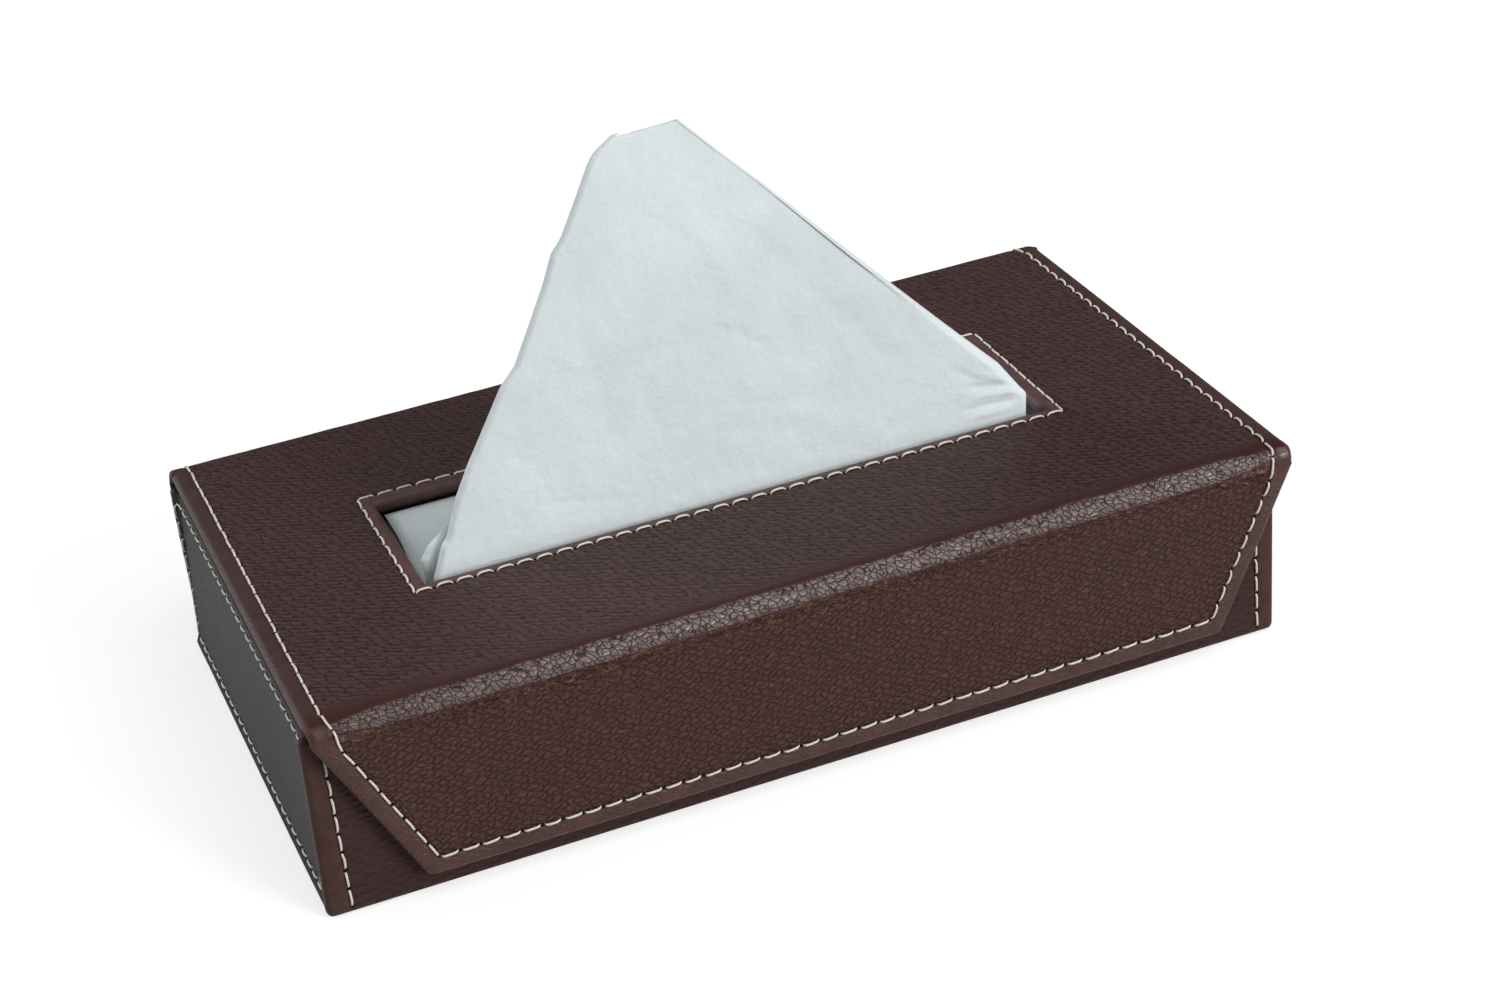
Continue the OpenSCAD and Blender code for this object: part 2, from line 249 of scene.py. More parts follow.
class Rows:
    """The rows of a panel, from one end to the other: outer and inner points in Y and Z, and a place."""

    def __init__(self):
        self.outer, self.inner, self.place = [], [], []

    def add(self, outer, inner, place):
        self.outer.append(np.array(outer, float))
        self.inner.append(np.array(inner, float))
        self.place.append(place)

    def close(self, ahead, radius, step):
        """Rounds the panel's end, which lies ahead of the last row."""
        outer, inner, place = self.outer[-1], self.inner[-1], self.place[-1]
        inward = (inner - outer) / np.linalg.norm(inner - outer)
        for a in np.linspace(0, math.pi / 2, END_STEPS + 1)[1:]:
            on = np.array(ahead) * radius * math.sin(a)
            drop = inward * radius * (1 - math.cos(a))
            self.add(outer + on + drop, inner + on - drop, place + step * radius * a)

    def reverse(self):
        for rows in (self.outer, self.inner, self.place):
            rows.reverse()

    def arrays(self):
        return np.array(self.outer), np.array(self.inner), np.array(self.place)


# How far apart the points of a panel are: on the lid across and along, on walls, where little shows,
# and behind
LID_STEPS = 0.85, 0.7
WALL_STEP = 0.75
COARSE_STEP = 1.0
BACK_STEP = 12.0
# How far the grain runs on with each point round a rim
RIM_STEP = 0.6


def panel(name, rows, sides, columns, edge, face, hole=None, turn=None, tag=0.0):
    """One closed covered panel, as loops over its face, round its edges and along its inside.

    sides is left and right, for all rows or for each, columns the places of the columns where the panel is
    widest, edge the path round a side edge, and face a function of x, place and the outer points that gives
    how far the leather stands proud there, and its point values. hole is (first row, last row, first column,
    last column). turn moves the finished points to where the panel is. tag keeps the grain of panels apart.
    """
    outer, inner, place = rows.arrays()
    left, right = (np.broadcast_to(side, len(place)) for side in sides)
    radius = max(out for out, _ in edge)
    lows, highs = left + radius, right - radius
    x = lerp(lows[:, None], highs[:, None], as_shares(columns)[None, :])
    base = np.broadcast_to(outer[:, None, :], (*x.shape, 2))
    rise, values = face(x, np.broadcast_to(place[:, None], x.shape), base)
    out_way = outer - inner
    out_way = out_way / np.linalg.norm(out_way, axis=1)[:, None]
    top = as_points(x, *np.moveaxis(base + rise[..., None] * out_way[:, None, :], 2, 0))

    def side(sign):
        start, first = (highs, top[:, -1, 1:]) if sign > 0 else (lows, top[:, 0, 1:])
        out, depth = np.array(edge).T
        deep = first[:, None, :] + (inner - first)[:, None, :] * depth[None, :, None]
        return as_points(start[:, None] + sign * out, *np.moveaxis(deep, 2, 0))

    right_rim, left_rim = side(1), side(-1)[:, ::-1]
    lip_right, lip_left = right_rim[:, -1, 0], left_rim[:, 0, 0]
    back_count = max(3, int(np.ptp(lows + highs) + (highs - lows).max() / BACK_STEP))
    inner_shares = np.linspace(1, 0, back_count)[1:-1]
    if hole:
        first, last = (x[0, hole[2:]] - lip_left[0]) / (lip_right[0] - lip_left[0])
        inner_shares = np.array([(last + 1) / 2, last, (first + last) / 2, first, first / 2])
    back_x = lerp(lip_left[:, None], lip_right[:, None], inner_shares[None, :])
    back = as_points(back_x, inner[:, :1], inner[:, 1:])
    points = np.concatenate([top, right_rim, back, left_rim], axis=1)
    count, around = points.shape[:2]
    face_count, rim_count = x.shape[1], len(edge)
    hole_back = (face_count + rim_count + 1, face_count + rim_count + 3)

    def is_open(row, column):
        """Whether the hole takes up a face."""
        if not hole or not hole[0] <= row < hole[1]:
            return False
        return hole[2] <= column < hole[3] or hole_back[0] <= column < hole_back[1]

    faces = [face for i, face in enumerate(loop_faces(count, around)) if not is_open(*divmod(i, around))]
    faces += end_faces(count, around)
    if hole:
        for row in range(hole[0], hole[1]):
            here, there = row * around, (row + 1) * around
            for column, behind in ((hole[2], hole_back[1]), (hole[3], hole_back[0])):
                faces.append((here + column, there + column, there + behind, here + behind))
        for row in hole[:2]:
            over = list(range(hole[2], hole[3] + 1)) + list(range(hole_back[0], hole_back[1] + 1))
            faces.append([row * around + column for column in over])

    extra = around - face_count
    flat = np.zeros(x.shape)
    named = {key: padded(values.get(key, flat), extra) for key in ("pit", "crease", "press", "low")}
    named["margin"] = padded(values["margin"], extra, values["margin"][:, -1:])
    named["rim"] = padded(flat, extra, 1.0)
    beyond = RIM_STEP * np.arange(1, rim_count + 1)
    flow_x = np.concatenate([x, highs[:, None] + beyond, back_x, lows[:, None] - beyond[::-1]], axis=1)
    named["flow"] = as_points(flow_x, place[:, None], tag)
    return new_piece(name, turn(points) if turn else points, faces, named)


# Seams

# A needle hole, the groove of a seam, and the puffed leather beside it
HOLE_ROUND, HOLE_DEEP = 0.66, 0.3
GROOVE_WIDE, GROOVE_DEEP = 0.75, 0.22
PUFF_OFF, PUFF_WIDE, PUFF_HIGH = 2.1, 1.0, 0.05


class Seam:
    """A straight row of stitches between two places on a surface, with its needle holes between them."""

    def __init__(self, a, b, bow, slant=0.0, count=None):
        self.a, self.b = np.array(a, float), np.array(b, float)
        self.length = np.linalg.norm(self.b - self.a)
        self.along = (self.b - self.a) / self.length
        self.across = np.array([-self.along[1], self.along[0]])
        self.count = count or max(1, round(self.length / PITCH))
        self.step = self.length / self.count
        self.bow, self.slant = bow, slant

    def sewn(self, x, s):
        """How far the seam draws the leather in at each point, and how much of a needle hole is there, which
        is painted dark as shade.
        """
        on_x, on_s = x - self.a[0], s - self.a[1]
        run = on_x * self.along[0] + on_s * self.along[1]
        off = on_x * self.across[0] + on_s * self.across[1]
        inside = smooth(-1.0, 0.4, run) * smooth(-1.0, 0.4, self.length - run)
        to_hole = np.abs(run / self.step - np.round(run / self.step)) * self.step
        hole = bell(np.hypot(off, to_hole), HOLE_ROUND) * inside
        groove = bell(off, GROOVE_WIDE) * inside
        puff = bell(np.abs(off) - PUFF_OFF, PUFF_WIDE) * inside
        return -GROOVE_DEEP * groove - HOLE_DEEP * hole + PUFF_HIGH * puff, hole


def all_sewn(x, s, seams):
    rise, hole = np.zeros(x.shape), np.zeros(x.shape)
    for seam in seams:
        more, pit = seam.sewn(x, s)
        rise, hole = rise + more, np.maximum(hole, pit)
    return rise, hole


THREAD = 0.3
STITCH_GAP = 0.95
STITCH_LOW, STITCH_HIGH, STITCH_DIP = 0.2, 0.27, 0.36
THREAD_SIDES, THREAD_RINGS, THREAD_PLIES, THREAD_TURN = 12, 15, 3, 2.3
PLY_DEPTH, THREAD_FLATNESS = 0.13, 0.86


def thread_piece(name, seams, place, seed):
    """Single stitches of twisted thread, each bowed out of a needle hole and back into the next."""
    draw = np.random.default_rng(seed)
    points, faces, twists = [], [], []
    stitch = loop_faces(THREAD_RINGS, THREAD_SIDES) + end_faces(THREAD_RINGS, THREAD_SIDES)
    around = np.linspace(0, 2 * math.pi, THREAD_SIDES, endpoint=False)
    for seam in seams:
        for i in range(seam.count):
            start = len(points) * THREAD_SIDES * THREAD_RINGS
            reach = (seam.step - STITCH_GAP) / 2 * draw.uniform(0.96, 1.03)
            middle = seam.a + seam.along * seam.step * (i + 0.5 + draw.normal(0, 0.012))
            tilt = seam.slant + draw.normal(0, 0.05)
            bow = seam.bow + draw.normal(0, 0.06)
            height = draw.uniform(STITCH_LOW, STITCH_HIGH)
            t = np.linspace(-1, 1, THREAD_RINGS)
            off = tilt * t + bow * (1 - t * t)
            up = height - (height + STITCH_DIP) * np.abs(t) ** 5
            line = middle + np.outer(reach * t, seam.along) + np.outer(off, seam.across)
            turn = (reach * (t + 1) / THREAD_TURN + draw.random()) * 2 * math.pi
            ply = np.cos(THREAD_PLIES * (around - turn[:, None]))
            thick = THREAD * (1 - 0.18 * np.abs(t) ** 6)[:, None] * (1 + PLY_DEPTH * ply)
            sideways, raised = thick * np.cos(around), thick * np.sin(around) * THREAD_FLATNESS
            x = line[:, :1] + seam.across[0] * sideways
            s = line[:, 1:] + seam.across[1] * sideways
            points.append(place(x, s, up[:, None] + raised))
            twists.append(ply)
            faces += [[start + corner for corner in face] for face in stitch]
    return new_piece(name, points, faces, {"ply": twists}, keep_angle=70.0)


def past_seam(off, seam):
    """1 beyond a seam, where the leather is smooth, and 0 inside it."""
    return smooth(seam - 0.4, seam + 0.6, np.abs(off))


def rectangle_seams(half_w, low, high, bow, centre):
    """The four seams of a rectangle, whose stitches bow inwards by the given amount."""
    left, right = centre - half_w, centre + half_w
    corners = [(left, low), (right, low), (right, high), (left, high)]
    return [Seam(a, b, bow) for a, b in zip(corners, corners[1:] + corners[:1])]


def on_wall(face, way):
    """A function that puts points over an upright wall at face in Y, whose outside is towards way."""
    def place(x, z, rise):
        return as_points(x, face + way * rise, z)
    return place


# The leather's own unevenness, on the flat panels

def uneven(x, s, seed):
    """Slow waves of the leather over its board, and the softest part of its grain."""
    slow = 0.07 * soft_noise(x, s, 34.0, seed) + 0.035 * soft_noise(x, s, 11.0, seed + 1)
    grain = 0.018 * soft_noise(x / 1.9, s, 1.1, seed + 2)
    return slow + grain


# Lid

LID_EDGE, LID_HEM = 1.8, 1.2
lid_thickness = lid_top - (lid_low[2] - LIP)
slot_gap = 3.5

seam_x = lid_half - SEAM_INSET
lid_end_seams = [Seam((mid_x + off, lid_low[1] + SKIN), (mid_x + off, lid_high[1] - SKIN), bow)
                 for off, bow in ((-seam_x, 0.0), (seam_x, -0.34))]
slot_seams = rectangle_seams(slot_half_w + SLOT_SEAM, -slot_half_d - SLOT_SEAM, slot_half_d + SLOT_SEAM,
                             0.28, mid_x)


def on_lid(x, y, rise):
    return as_points(x, y, lid_top + rise)


def lid_face(x, y, base):
    rise, pit = all_sewn(x, y, lid_end_seams + slot_seams)
    ends = smooth(front_cut_y, front_cut_y + 3, y) * smooth(back_cut_y, back_cut_y - 3, y)
    rise = rise + uneven(x, y, 11) * ends
    margin = past_seam(x - mid_x, seam_x)
    over_slot = (np.abs(x - mid_x) < slot_half_w + SLOT_SEAM) & (np.abs(y) < slot_half_d + SLOT_SEAM)
    press = smooth(4.6, -1.0, y - front_cut_y + 0.9 * soft_noise(x, 0.0, 9.0, 12))
    return rise, {"margin": np.where(over_slot, 1.0, margin), "pit": pit, "press": press}


def three_parts(ends, step, marks):
    """Places through four ends, and which of them are the two inner ends."""
    parts = [graded(low, high, step, marks) for low, high in zip(ends, ends[1:])]
    first = len(parts[0]) - 1
    return np.concatenate([parts[0], parts[1][1:], parts[2][1:]]), first, first + len(parts[1]) - 1


def make_lid():
    hole_x, hole_y = slot_half_w + slot_gap, slot_half_d + slot_gap
    slot_seam_x = slot_half_w + SLOT_SEAM
    marks = [seam.a[0] for seam in lid_end_seams] + [mid_x - slot_seam_x, mid_x + slot_seam_x]
    columns, *hole_columns = three_parts(
        [lid_low[0] + LID_EDGE, mid_x - hole_x, mid_x + hole_x, lid_high[0] - LID_EDGE], LID_STEPS[0], marks)
    marks = [-slot_half_d - SLOT_SEAM, slot_half_d + SLOT_SEAM]
    lines, *hole_rows = three_parts([front_cut_y, -hole_y, hole_y, back_cut_y], LID_STEPS[1], marks)
    rows = Rows()
    for y in lines:
        rows.add((y, lid_top), (y, lid_top - lid_thickness), y)
    return panel("lid_leather", rows, (lid_low[0], lid_high[0]), columns,
                 edge_path(LID_EDGE, lid_thickness, LID_HEM), lid_face, (*hole_rows, *hole_columns))


# Front fold: the leather that bends between the lid and the flap

FOLD_WIDE = 4.5
FOLD_NARROW = 2.4
FOLD_SLOPE = 0.8
FOLD_ROWS, FOLD_STEP = 40, 0.3
# How far down the fold its groove, the two edges of its bevel and its crease are
FOLD_SHARES = [0.0, 0.1, 0.21, 0.28, 0.54, 0.8, 0.87, 1.0]
fold_length = 0.86 * (FOLD_BACK + FOLD_DROP)


def fold_line(x, share):
    """Outer points of the front fold in Y and Z: a groove, a rubbed bevel and a crease, at each x."""
    off = np.abs(x - mid_x)
    ragged = 0.2 * soft_noise(x, 0.0, 9.0, 31) + 0.1 * soft_noise(x, 0.0, 2.4, 32)
    wide = lerp(FOLD_WIDE, FOLD_NARROW, smooth(seam_x - 16, seam_x - 0.5, off))
    wide = wide + ragged * smooth(seam_x, seam_x - 8, off)
    deep = smooth(seam_x + 1, seam_x - 6, off)
    top_y, foot_z = flap_face + wide, lid_top - wide * FOLD_SLOPE
    keys = np.array(FOLD_SHARES)
    ys = [front_cut_y, front_cut_y - 0.8, top_y + 0.6, top_y - 0.1, (top_y + flap_face) / 2 - 0.22,
          flap_face + 0.12, flap_face + 0.32 * deep, flap_face]
    zs = [lid_top, lid_top - 0.06 * deep, lid_top - 0.3 * deep, lid_top - 0.1, (lid_top + foot_z) / 2 + 0.26,
          foot_z + 0.2, foot_z - 0.35, front_cut_z]
    place = np.clip(share, 0, 1)
    which = np.clip(np.searchsorted(keys, place, side="right") - 1, 0, len(keys) - 2)
    ahead, behind = np.maximum(which - 1, 0), np.minimum(which + 2, len(keys) - 1)
    span = keys[which + 1] - keys[which]
    t = (place - keys[which]) / span
    ys, zs = np.stack(np.broadcast_arrays(*ys)), np.stack(np.broadcast_arrays(*zs))
    grid = np.indices(x.shape)

    def curve(values):
        """A soft curve through the key points."""
        a, b = values[(which, *grid)], values[(which + 1, *grid)]
        slope_a = (b - values[(ahead, *grid)]) / (keys[which + 1] - keys[ahead]) * span
        slope_b = (values[(behind, *grid)] - a) / (keys[behind] - keys[which]) * span
        h = t * t * (3 - 2 * t)
        return lerp(a, b, h) + slope_a * t * (1 - t) ** 2 - slope_b * t * t * (1 - t)

    return curve(ys), curve(zs)


def on_fold(x, flow_s, rise):
    """A point over the fold. flow_s falls from the lid's cut down to the flap's cut, and runs past both."""
    x, s, rise = np.broadcast_arrays(x, front_cut_y - flow_s, rise)
    y, z = fold_line(x, s / fold_length)
    y = y + np.where(s < 0, -s, 0)
    z = z - np.where(s > fold_length, s - fold_length, 0)
    angle = smooth(0.1, 0.9, s / fold_length) * math.pi / 2
    return as_points(x, y - rise * np.sin(angle), z + rise * np.cos(angle))


def crinkles(x, s):
    """Short creases along the foot of the bevel."""
    deep = bell(soft_noise(x / 3.6 + 0.25 * s, s, 0.95, 44), 0.3)
    return 0.05 * soft_noise(x / 2.0, s, 0.6, 45) - 0.2 * deep


def make_front_fold():
    shares = as_shares(graded(lid_low[0] + LID_EDGE, lid_high[0] - LID_EDGE, FOLD_STEP))
    levels = np.interp(np.linspace(0, 1, FOLD_ROWS + 1), [0, 0.1, 0.92, 1], [0, 0.18, 0.9, 1])
    half = lerp(lid_half, flap_half(front_cut_z), smooth(0, 1, levels))
    x = lerp((mid_x - half + LID_EDGE)[:, None], (mid_x + half - LID_EDGE)[:, None], shares[None, :])
    level = np.broadcast_to(levels[:, None], x.shape)
    y, z = fold_line(x, level)
    flow_s = front_cut_y - level * fold_length
    inside = smooth(seam_x + 0.3, seam_x - 1.5, np.abs(x - mid_x))
    foot = level + (0.05 * soft_noise(x, 0.0, 2.3, 46) + 0.03 * soft_noise(x, 0.0, 0.9, 48)) * inside
    bevel = smooth(0.2, 0.3, level) * smooth(0.96, 0.85, foot)
    top_edge = level + 0.04 * soft_noise(x, 0.0, 6.0, 49)
    # The pale rubbed band of the bevel is real wear with a painted sheen, brightest along its upper middle
    # and dimmer to the left, plus painted highlights on the corner facets past the seams, the right one most
    shine = smooth(0.2, 0.36, top_edge) * smooth(0.93, 0.55, foot) * lerp(0.65, 1.0, smooth(-115, -50, x))
    corner_wear_and_highlight = 0.95 * smooth(seam_x, seam_x + 1.5, x - mid_x) + 0.3 * smooth(seam_x, seam_x + 1.5, mid_x - x)
    pillow = 0.05 * soft_noise(x, flow_s, 1.7, 42) + 0.07 * soft_noise(x / 2.4, flow_s, 3.4, 43)
    rise = pillow * bevel * lerp(0.15, 1, inside)
    rise = rise + crinkles(x, flow_s) * smooth(0.78, 0.9, level) * inside
    hole_rise, pit = all_sewn(x, flow_s, fold_seams())
    rise = rise + hole_rise * 0.8
    angle = smooth(0.1, 0.9, level) * math.pi / 2
    top = as_points(x, y - rise * np.sin(angle), z + rise * np.cos(angle))
    # The crease band below the bevel gets painted shade and painted highlights on its crests
    values = {"crease": smooth(0.8, 0.88, level) * inside, "wear_and_sheen": np.maximum(inside, corner_wear_and_highlight) * shine,
              "cracked": bevel * inside, "pit": pit, "press": smooth(0.27, 0.2, level)}
    return fold_shell("front_fold_leather", x, top, levels, half, flow_s, values)


FOLD_HEM = 2.2
FOLD_SKIN = 1.15
FOLD_EDGE = 3.5
FOLD_BACK_COLUMNS = 60


def fold_shell(name, x, top, levels, half, flow_s, values):
    """Closes the fold: a thin sheet in the middle, with deeper hems along its two ends."""
    axis_y, axis_z = flap_axis[1:]
    deep_y = np.interp(levels, [0, 0.45, 0.7, 1], [front_cut_y, axis_y + 0.9, axis_y + 0.5, flap_face + 3.2])
    deep_z = np.interp(levels, [0, 0.1, 0.3, 0.45, 0.7, 1],
                       [lid_top - 3.4, lid_top - 2.6, lid_top - 2.4, axis_z, axis_z - 0.9, front_cut_z])
    deep = np.stack([deep_y, deep_z], axis=1)

    def below(column, share=None):
        """Points under a column, at a share of the way to the deep side or one skin down."""
        first = top[:, column, 1:]
        if share is None:
            share = (FOLD_SKIN / np.linalg.norm(deep - first, axis=1))[:, None]
        return first + (deep - first) * share

    def side(sign):
        column, start = (-1 if sign > 0 else 0), mid_x + sign * (half - LID_EDGE)
        made = [np.column_stack([start + sign * out, below(column, share)])
                for out, share in edge_path(LID_EDGE, FOLD_EDGE, FOLD_HEM)]
        made.append(np.column_stack([start - sign * FOLD_HEM, below(column)]))
        return np.stack(made, axis=1)

    right_rim, left_rim = side(1), side(-1)[:, ::-1]
    backs = []
    for share in np.linspace(1, 0, FOLD_BACK_COLUMNS)[1:-1]:
        across = lerp(left_rim[:, 0, 0], right_rim[:, -1, 0], share)
        backs.append(np.column_stack([across, below(round(share * (x.shape[1] - 1)))]))
    back = np.stack(backs, axis=1)
    points = np.concatenate([top, right_rim, back, left_rim], axis=1)
    count, around = points.shape[:2]
    faces = loop_faces(count, around) + end_faces(count, around)
    extra = around - x.shape[1]
    values = {key: padded(value, extra) for key, value in values.items()}
    values["margin"] = padded(past_seam(x - mid_x, seam_x), extra, 1.0)
    values["rim"] = padded(np.zeros(x.shape), extra, 1.0)
    values["flow"] = as_points(points[..., 0], flow_s[:, :1], 0.0)
    return new_piece(name, points, faces, values)


flap_seam_half = flap_half(flap_high[2] - SKIN) - SEAM_INSET * flap_secant
flap_seam_drop = front_cut_z - (flap_high[2] - SKIN)


def fold_seams():
    """Two stitches at each end that join the lid's seam to the flap's, over the fold."""
    top, foot = lid_low[1] + SKIN, front_cut_y - fold_length - flap_seam_drop
    return [Seam((mid_x + side * seam_x, top), (mid_x + side * flap_seam_half, foot), 0.1 * side, count=2)
            for side in (-1, 1)]


# Flap

FLAP_EDGE, FLAP_HEM = 1.4, 1.2
FLAP_STEP, FLAP_REACH = 0.72, 2.2
flap_thickness = (flap_high[1] - flap_face) + LIP


def flap_corner_half(z):
    """Half the flap's width with its rounded lower corners."""
    lean = math.atan(flap_slope)
    tangent = FLAP_CORNER / math.tan((math.pi / 2 + lean) / 2)
    centre = flap_half(flap_low[2]) - tangent
    above = z - flap_low[2]
    low = FLAP_CORNER * (1 - math.sin(lean))
    arc = centre + np.sqrt(np.maximum(FLAP_CORNER ** 2 - (FLAP_CORNER - above) ** 2, 0))
    return np.where(above < low, arc, flap_half(z))


def flap_seams():
    low = flap_low[2] + SEAM_INSET
    side = SEAM_INSET * flap_secant
    top = flap_high[2] - SKIN
    foot = flap_half(low) - side
    head = flap_half(top) - side
    return [Seam((mid_x - head, top), (mid_x - foot, low), 0.08),
            Seam((mid_x - foot, low), (mid_x + foot, low), -0.06, 0.16),
            Seam((mid_x + foot, low), (mid_x + head, top), -0.16)]


def flap_surface(x, place, base):
    z = base[..., 1]
    rise, pit = all_sewn(x, z, flap_seams())
    ends = smooth(front_cut_z, front_cut_z - 3, z)
    side = (flap_half(z) - np.abs(x - mid_x)) / flap_secant
    # near marks the crinkled band under the fold, which the shader darkens with painted shade and whose
    # crests get painted highlights
    near = smooth(front_cut_z - 5.0 - 2.0 * soft_noise(x, 0.0, 22.0, 56), front_cut_z, z) * smooth(4, 8, side)
    rise = rise + uneven(x, z, 51) * ends + crinkles(x, place) * near
    edge = np.minimum(side, z - flap_low[2])
    margin = smooth(SEAM_INSET + 0.4, SEAM_INSET - 0.6, edge)
    return rise, {"margin": margin, "pit": pit, "crease": near}


def make_flap():
    rows = Rows()
    start = front_cut_y - fold_length + front_cut_z
    low = flap_low[2]
    marks = [low + SEAM_INSET, front_cut_z - 1.8]
    for z in graded(low + FLAP_EDGE, front_cut_z, WALL_STEP, marks, 0.33, FLAP_REACH)[::-1]:
        rows.add((flap_face, z), (flap_face + flap_thickness, z), z + start - 2 * front_cut_z)
    rows.close((0, -1), FLAP_EDGE, -1)
    heights = np.array([(o[1] + i[1]) / 2 for o, i in zip(rows.outer, rows.inner)])
    half = flap_corner_half(heights)
    band = SEAM_INSET * flap_secant
    widest = flap_half(front_cut_z) - FLAP_EDGE
    marks = [-widest + band - FLAP_EDGE, widest - band + FLAP_EDGE]
    columns = graded(-widest, widest, FLAP_STEP, marks, reach=FLAP_REACH)
    return panel("flap_leather", rows, (mid_x - half, mid_x + half), columns,
                 edge_path(FLAP_EDGE, flap_thickness, FLAP_HEM), flap_surface)


# Tray: one strip from the top of the back wall, under the base and up the front wall

TRAY_EDGE, TRAY_HEM = 1.5, 1.0
TRAY_SET_BACK = 0.8
BASE_ROWS = 40
FOOT_FLARE, TOP_FLARE = 1.3, 1.1
wall_seam_x = tray_high[0] - SEAM_INSET
tray_inner = tray_high[1] - lid_thickness
wall_seams = [Seam((side * wall_seam_x, BEND), (side * wall_seam_x, tray_high[2] - SKIN), 0.1 * side)
              for side in (-1, 1)]


def tray_surface(x, place, base):
    y, z = base[..., 0], base[..., 1]
    wall = smooth(tray_high[1] - 0.6, tray_high[1], np.abs(y))
    rise, pit = all_sewn(x, z, wall_seams)
    above = smooth(0, 4, z)
    top = smooth(back_cut_z, back_cut_z - 2.5, z)
    rise = (rise + uneven(x, place, 71)) * wall * above * np.where(y > 0, top, 1.0)
    margin = past_seam(x, wall_seam_x)
    return rise, {"margin": margin, "pit": pit * wall}


def tray_rows():
    """The tray's strip, from the top of the back wall down, under the base and up the front wall."""
    rows = Rows()
    back, thick = tray_high[1], lid_thickness
    turns = np.linspace(0, math.pi / 2, 7)[1:-1]
    for z in graded(BEND, back_cut_z, COARSE_STEP)[::-1]:
        rows.add((back, z), (tray_inner, max(z, thick)), -z)
    for a in turns:
        outer = (back - BEND + BEND * math.cos(a), BEND - BEND * math.sin(a))
        rows.add(outer, (tray_inner, thick), BEND * a - BEND)
    start = BEND * math.pi / 2 - BEND
    for y in np.linspace(back - BEND, BEND - back, BASE_ROWS):
        rows.add((y, 0), (min(max(y, -tray_inner), tray_inner), thick), start + back - BEND - y)
    start = start + 2 * (back - BEND)
    for a in turns:
        outer = (BEND - back - BEND * math.sin(a), BEND - BEND * math.cos(a))
        rows.add(outer, (-tray_inner, thick), start + BEND * a)
    start = start + BEND * math.pi / 2 - BEND
    for z in graded(BEND, tray_high[2] - TRAY_EDGE, WALL_STEP):
        rows.add((-back, z), (-tray_inner, max(z, thick)), start + z)
    rows.close((0, 1), TRAY_EDGE, 1)
    return rows


def make_tray():
    rows = tray_rows()
    marks = [-wall_seam_x, wall_seam_x]
    columns = graded(tray_low[0] + TRAY_EDGE, tray_high[0] - TRAY_EDGE, COARSE_STEP, marks)
    outer, inner = rows.arrays()[:2]
    middle = (outer + inner) / 2
    near_top = np.where(outer[:, 0] < 0, tray_high[2] - middle[:, 1], 9.0)
    short = np.clip(TRAY_EDGE - near_top, 0, TRAY_EDGE)
    cut = TRAY_EDGE - np.sqrt(np.maximum(TRAY_EDGE ** 2 - short ** 2, 0))
    cut = cut + TRAY_SET_BACK * smooth(tray_low[1] + 0.4, -tray_inner, outer[:, 0])
    front = smooth(tray_low[1] + 3, tray_low[1], outer[:, 0])
    up = np.clip(outer[:, 1] / tray_high[2], 0, 1)
    sides = (tray_low[0] + cut - FOOT_FLARE * front * (1 - up), tray_high[0] - cut + TOP_FLARE * front * up)
    return panel("tray_leather", rows, sides, columns, edge_path(TRAY_EDGE, lid_thickness, TRAY_HEM),
                 tray_surface, tag=3.0)


# End panels

END_EDGE, END_HEM = 1.1, 1.0
END_LEAN, END_FLARE, END_REAR = 2.2, 0.9, 1.5
end_front, end_rear = end_low[1] + 0.1, tray_high[1] - 0.3
end_foot = 0.5
end_thickness = end_high[0] - end_low[0] + LIP
end_mid, end_half = (end_front + end_rear) / 2, (end_rear - end_front) / 2
end_seams = rectangle_seams(end_half - END_SEAM, end_foot + END_SEAM, end_high[2] - END_SEAM, 0.05, end_mid)


def end_lean(x, z):
    """How far the end panel stands out: it covers the ends of the base and the back wall."""
    up = np.clip((z - end_foot) / (end_high[2] - end_foot), 0, 1)
    foot = END_LEAN * (1 - up) + END_FLARE * smooth(4.5, end_foot, z)
    return np.maximum(foot, END_REAR * smooth(end_rear - 6.0, end_rear - 3.0, x))


def end_surface(x, place, base):
    z = base[..., 1]
    rise, pit = all_sewn(x, z, end_seams)
    edge = np.minimum(end_half - np.abs(x - end_mid), np.minimum(z - end_foot, end_high[2] - z))
    margin = smooth(END_SEAM + 0.4, END_SEAM - 0.6, edge)
    # low is painted shade: the panel darker towards its foot and its front, and all along its lower margin,
    # broken up by soft noise
    foot = smooth(END_SEAM + 0.4, END_SEAM - 0.6, z - end_foot)
    low = np.maximum(smooth(46, 0, z + 0.12 * (x - end_mid)), foot)
    low = np.clip(low + 0.18 * soft_noise(x, z, 13.0, 93) + 0.12 * soft_noise(x, z, 5.0, 94), 0, 1)
    return rise + uneven(x, z, 91) + end_lean(x, z), {"margin": margin, "pit": pit, "low": low}


def to_left(points):
    """Turns a panel that faces -Y, with the front on its left, to the tray's left end."""
    return points[..., [1, 0, 2]]


def to_right(points):
    return to_left(points) * (-1, 1, 1)


def on_end(turn):
    def place(x, z, rise):
        return turn(as_points(x, end_low[0] - end_lean(x, z) - rise, z))
    return place


